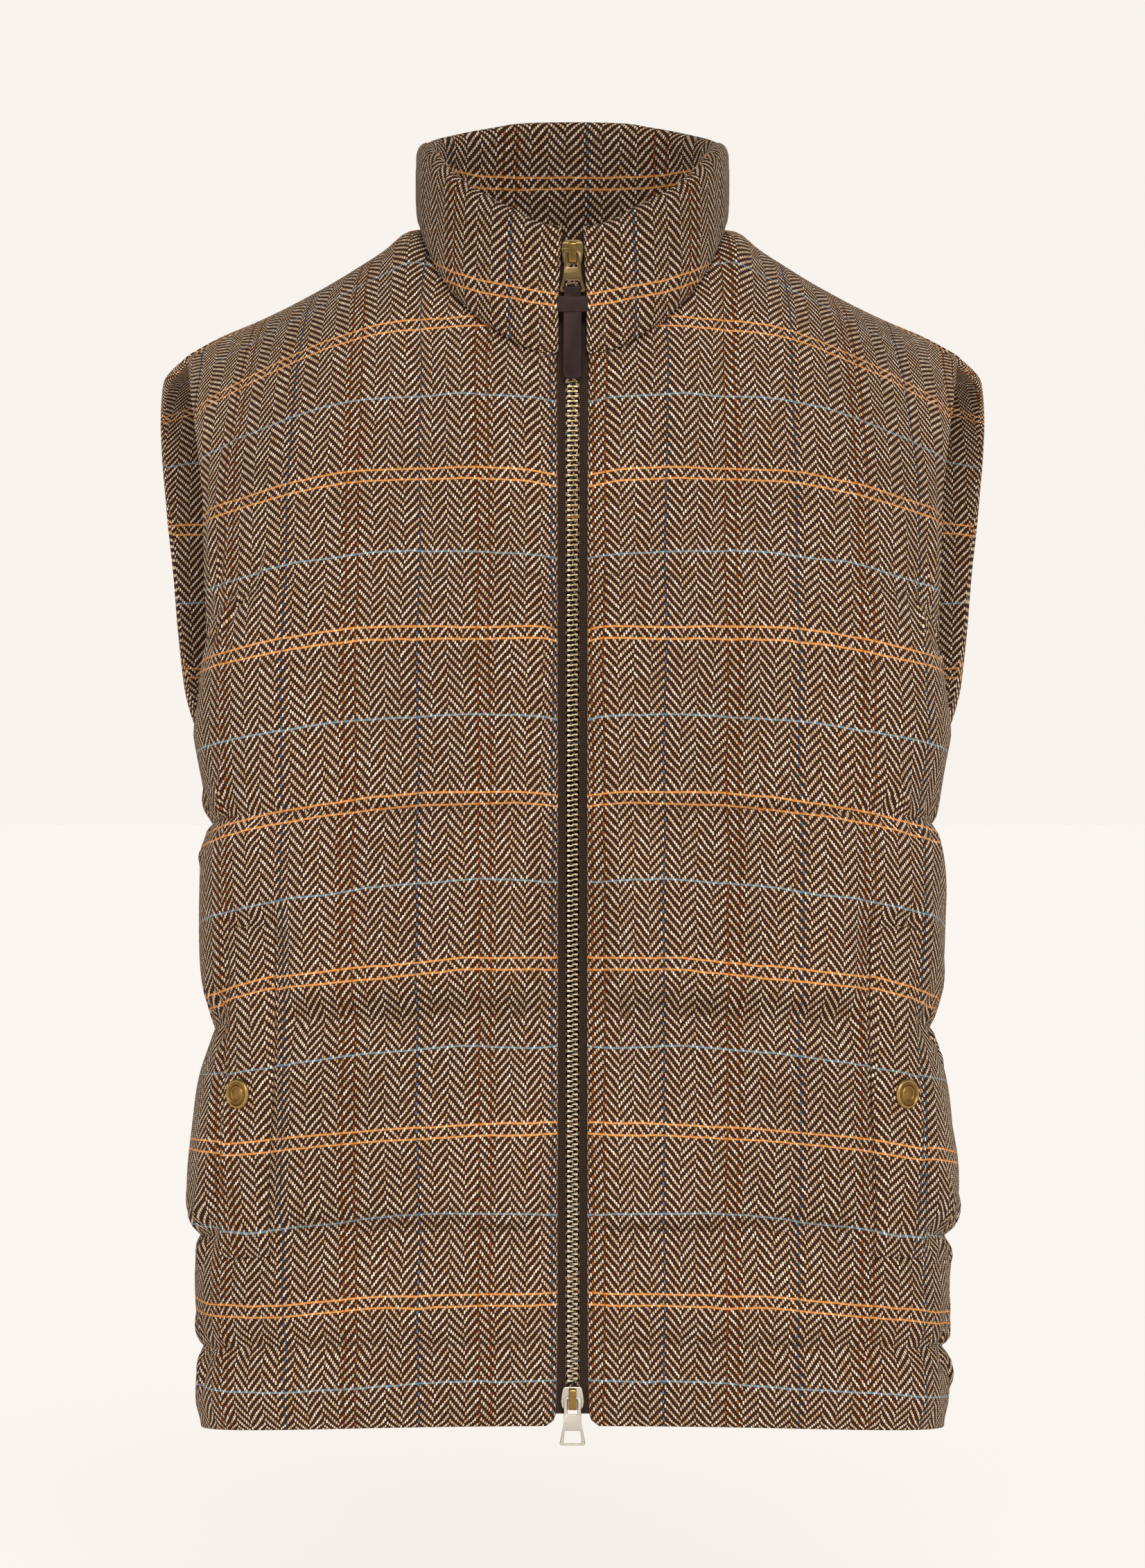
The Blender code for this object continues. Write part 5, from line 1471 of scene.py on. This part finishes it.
def sideways(y, z):
    return Matrix(((0.0, 0.0, 1.0, 0.0), (-1.0, 0.0, 0.0, y), (0.0, 1.0, 0.0, z), (0.0, 0.0, 0.0, 1.0)))


sliderShape = {
    "plate": [(0.0036, 0.0068), (0.0058, 0.0054), (0.0064, 0.0022), (0.0060, -0.0020), (0.0050, -0.0062)],
    "corner": 0.0012, "bevel": 0.0004,
    "flanges": (-0.0056, 0.0041), "flangeWide": 0.0015, "flangeY": (-0.0019, -0.0001),
    "flangeZ": (-0.0055, 0.0048),
    "bridgeWall": 0.0012, "bridgeCorner": 0.0005, "bridgeBevel": 0.00035,
}


def sliderPiece(name, pivotZ, y, wideUp, plateFinish, bridgeFinish):
    p, s = pullShape, sliderShape
    half = s["plate"] if wideUp else [(x, -z) for x, z in reversed(s["plate"])]
    middle = (p["plateFront"] + p["plateBack"]) / 2
    parts = [curveMesh([rounded(bothSides(half), s["corner"], 6)], p["plateFront"] - p["plateBack"],
                       s["bevel"], plateFinish, standing(y - middle, pivotZ))]
    for x in s["flanges"]:
        low = (x, y + s["flangeY"][0], pivotZ + s["flangeZ"][0])
        high = (x + s["flangeWide"], y + s["flangeY"][1], pivotZ + s["flangeZ"][1])
        parts.append(blockMesh(low, high, s["bevel"], plateFinish))
    # the bridge from the side: y forward, z up
    foot = p["plateFront"] - s["bevel"]
    top = p["bridgeFront"]
    under = top - s["bridgeWall"]
    arch = [(foot, 0.0056), (top - 0.0010, 0.0056), (top, 0.0044), (top, -0.0052), (top - 0.0010, -0.0064),
            (foot, -0.0064), (foot, -0.0050), (under, -0.0050), (under, 0.0042), (foot, 0.0042)]
    parts.append(curveMesh([rounded(arch, s["bridgeCorner"], 3)], p["bridgeHalf"] * 2, s["bridgeBevel"],
                           bridgeFinish, sideways(y, pivotZ)))
    return mergedPiece(name, parts)


topSliderBody = sliderPiece("topSliderBody", pullShape["topPivotZ"], topY, True,
                            brass["antiqueBrass"], brass["bridgeBrass"])
bottomSliderBody = sliderPiece("bottomSliderBody", pullShape["bottomPivotZ"], bottomY, False,
                               brass["paleBrass"], brass["bridgeBrass"])

tabOutline = bothSides([(0.0047, 0.0005), (0.0046, -0.0070), (0.0051, -0.0130), (0.0066, -0.0205),
                        (0.0071, -0.0224)])
tabWindow = [(0.0030, -0.0005), (0.0030, -0.0090), (-0.0030, -0.0090), (-0.0030, -0.0005)]
tabEye = [(0.0045, -0.0158), (0.0053, -0.0216), (-0.0053, -0.0216), (-0.0045, -0.0158)]


def inset(points, amount):
    middle = Vector((sum(x for x, _ in points), sum(y for _, y in points))) / len(points)
    made = []
    for x, y in points:
        away = Vector((x, y)) - middle
        made.append(tuple(Vector((x, y)) - away.normalized() * amount))
    return made


tabShape = {"wall": 0.0009, "bevel": 0.0002, "bead": 0.00042, "beadIn": 0.00005, "holeBead": 0.00032,
            "holeOut": 0.0002, "corner": 0.0014, "windowCorner": 0.0009, "eyeCorner": 0.0013}


def tabPiece(name, y, pivotZ, finish, rimFinish, stretch=1.0):
    t = tabShape
    low = tabWindow[1][1]
    edge, eye = ([(x, low + (z - low) * stretch if z < low else z) for x, z in line]
                 for line in (tabOutline, tabEye))
    place = standing(y, pivotZ)
    holes = ((tabWindow, t["windowCorner"]), (eye, t["eyeCorner"]))
    parts = [curveMesh([rounded(line, corner) for line, corner in ((edge, t["corner"]), *holes)],
                       t["wall"], t["bevel"], finish, place)]
    beads = [(rounded(inset(edge, t["bead"] + t["beadIn"]), t["corner"]), t["bead"])]
    beads += [(rounded(inset(line, -t["holeOut"]), corner), t["holeBead"]) for line, corner in holes]
    parts += [curveMesh([line], 0.0, bead, rimFinish, place, tube=True) for line, bead in beads]
    return mergedPiece(name, parts)


topTabPlate = tabPiece("topTabPlate", topY - pullShape["tabPivot"], pullShape["topPivotZ"],
                       brass["antiqueBrass"], brass["goldBrass"])
bottomTabPlate = tabPiece("bottomTabPlate", bottomY - pullShape["tabPivot"], pullShape["bottomPivotZ"],
                          brass["paleBrass"], brass["darkRimBrass"], pullShape["bottomStretch"])


leatherShape = {
    "loops": ((0.0021, 0.0029, -0.0060), (0.0011, 0.0017, -0.0016)),
    "loopWide": 0.0092, "loopBevel": 0.0003, "loopCorner": 0.0018, "holeCorner": 0.0004,
    "keeper": ((-0.0087, -0.0022, -0.0118), (0.0087, 0.0022, -0.0026)), "keeperBevel": 0.0011,
    "strap": (-0.0100, -0.0490), "strapWall": 0.0026, "strapBevel": 0.0005, "strapY": -0.0002,
    "edge": (-0.0120, -0.0480), "edgeIn": 0.0009, "edgeBead": 0.00018, "edgeY": -0.0014,
    "corners": (0.0030, 0.0026),
}


def leatherPiece():
    p, s = pullShape, leatherShape
    eye = Matrix.Translation((0.0, topY - p["tabPivot"], p["topPivotZ"] - p["eyeDrop"]))
    lean = eye @ Matrix.Rotation(math.radians(-p["leatherLean"]), 4, "X")
    loop, hole = ([(x, high), (x, low), (-x, low), (-x, high)] for x, high, low in s["loops"])
    strap, edge = (rounded(bothSides([(half, high), (half, low)]), corner, 8)
                   for half, (high, low), corner in (
                       (p["leatherHalf"], s["strap"], s["corners"][0]),
                       (p["leatherHalf"] - s["edgeIn"], s["edge"], s["corners"][1])))
    return mergedPiece("leatherStrapPull", [
        curveMesh([rounded(loop, s["loopCorner"], 8), rounded(hole, s["holeCorner"])], s["loopWide"],
                  s["loopBevel"], darkLeather, lean @ sideways(0.0, 0.0)),
        blockMesh(*s["keeper"], s["keeperBevel"], darkLeather, lean),
        curveMesh([strap], s["strapWall"], s["strapBevel"], darkLeather, lean @ standing(s["strapY"], 0.0)),
        curveMesh([edge], 0.0, s["edgeBead"], darkLeather, lean @ standing(s["edgeY"], 0.0), tube=True)])


leatherStrapPull = leatherPiece()

# Snap cap turned round its own axis: rim, groove, bare band, ring and centre disc
snapShape = {
    "turns": 72,
    "profile": [(0.0, 0.0022), (0.0018, 0.0022), (0.0030, 0.0021), (0.0035, 0.0020), (0.0038, 0.0023),
                (0.0041, 0.0024), (0.0044, 0.0021), (0.0047, 0.0018), (0.0060, 0.0018), (0.0064, 0.0019),
                (0.0067, 0.0023), (0.0071, 0.0026), (0.0076, 0.0025), (0.0081, 0.0021), (0.0084, 0.0016),
                (0.0085, 0.0011), (0.0083, 0.0006), (0.0078, 0.0001), (0.0, 0.0)],
}


def snapPiece(name, node):
    low, high = (Vector(corner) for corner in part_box(node))
    points = np.array([tuple(vertex.co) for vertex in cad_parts[node].data.vertices])
    centre = points.mean(axis=0)
    facing = Vector(np.linalg.svd(points - centre)[2][2])
    if facing.y > 0:
        facing = -facing
    middle = (low + high) / 2
    back = float(((points - centre) @ np.array(facing)).min())
    foot = middle + facing * (back + float((Vector(centre) - middle).dot(facing)))
    turn = Vector((0.0, 0.0, 1.0)).rotation_difference(facing).to_matrix().to_4x4()
    bm = bmesh.new()
    turns = [2 * math.pi * n / snapShape["turns"] for n in range(snapShape["turns"])]
    rows = [[bm.verts.new((radius * math.cos(angle), radius * math.sin(angle), height))
             for angle in (turns if radius else turns[:1])] for radius, height in snapShape["profile"]]
    for a, b in zip(rows[:-1], rows[1:]):
        for n in range(len(turns)):
            m = (n + 1) % len(turns)
            bm.faces.new((a if len(a) == 1 else [a[n], a[m]]) + (b if len(b) == 1 else [b[m], b[n]]))
    bmesh.ops.recalc_face_normals(bm, faces=bm.faces)
    bmesh.ops.transform(bm, matrix=Matrix.Translation(foot) @ turn, verts=bm.verts)
    return placed(name, meshOf(name, bm, brass["snapBrass"], angle=50))


snapCapLeft = snapPiece("snapCapLeft", "snap_left")
snapCapRight = snapPiece("snapCapRight", "snap_right")
print("hard pieces made")

# Bodies, slots and what each piece stands for: each piece hangs from its body and the parts it stands for are
# hidden; the slots are listed but not set

for piece, body, slot, nodes in (
        (frontLeftCloth, "root", "tweed", ["front_left"]),
        (frontRightCloth, "root", "tweed", ["front_right"]),
        (backCloth, "root", "tweed", ["back"]),
        (collarCloth, "root", "tweed", ["collar"]),
        (weltLeft, "root", "tweed_edge", ["pocket_welt_left"]),
        (weltRight, "root", "tweed_edge", ["pocket_welt_right"]),
        (tapeLeft, "root", "tape_brown", ["zip_tape_left"]),
        (tapeRight, "root", "tape_brown", ["zip_tape_right"]),
        (zipTeeth, "root", "old_brass", ["zip_chain"]),
        (seamStitches, "root", "tape_brown", []),
        (topSliderBody, "root", "old_brass", ["top_slider"]),
        (bottomSliderBody, "root", "old_brass", ["bottom_slider"]),
        (topTabPlate, "top_tab", "old_brass", ["top_tab"]),
        (bottomTabPlate, "bottom_tab", "pale_brass", ["bottom_tab"]),
        (leatherStrapPull, "leather_pull", "dark_leather", ["leather_pull"]),
        (snapCapLeft, "root", "old_brass", ["snap_left"]),
        (snapCapRight, "root", "old_brass", ["snap_right"])):
    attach(piece, body)
    if nodes:
        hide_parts(*nodes)
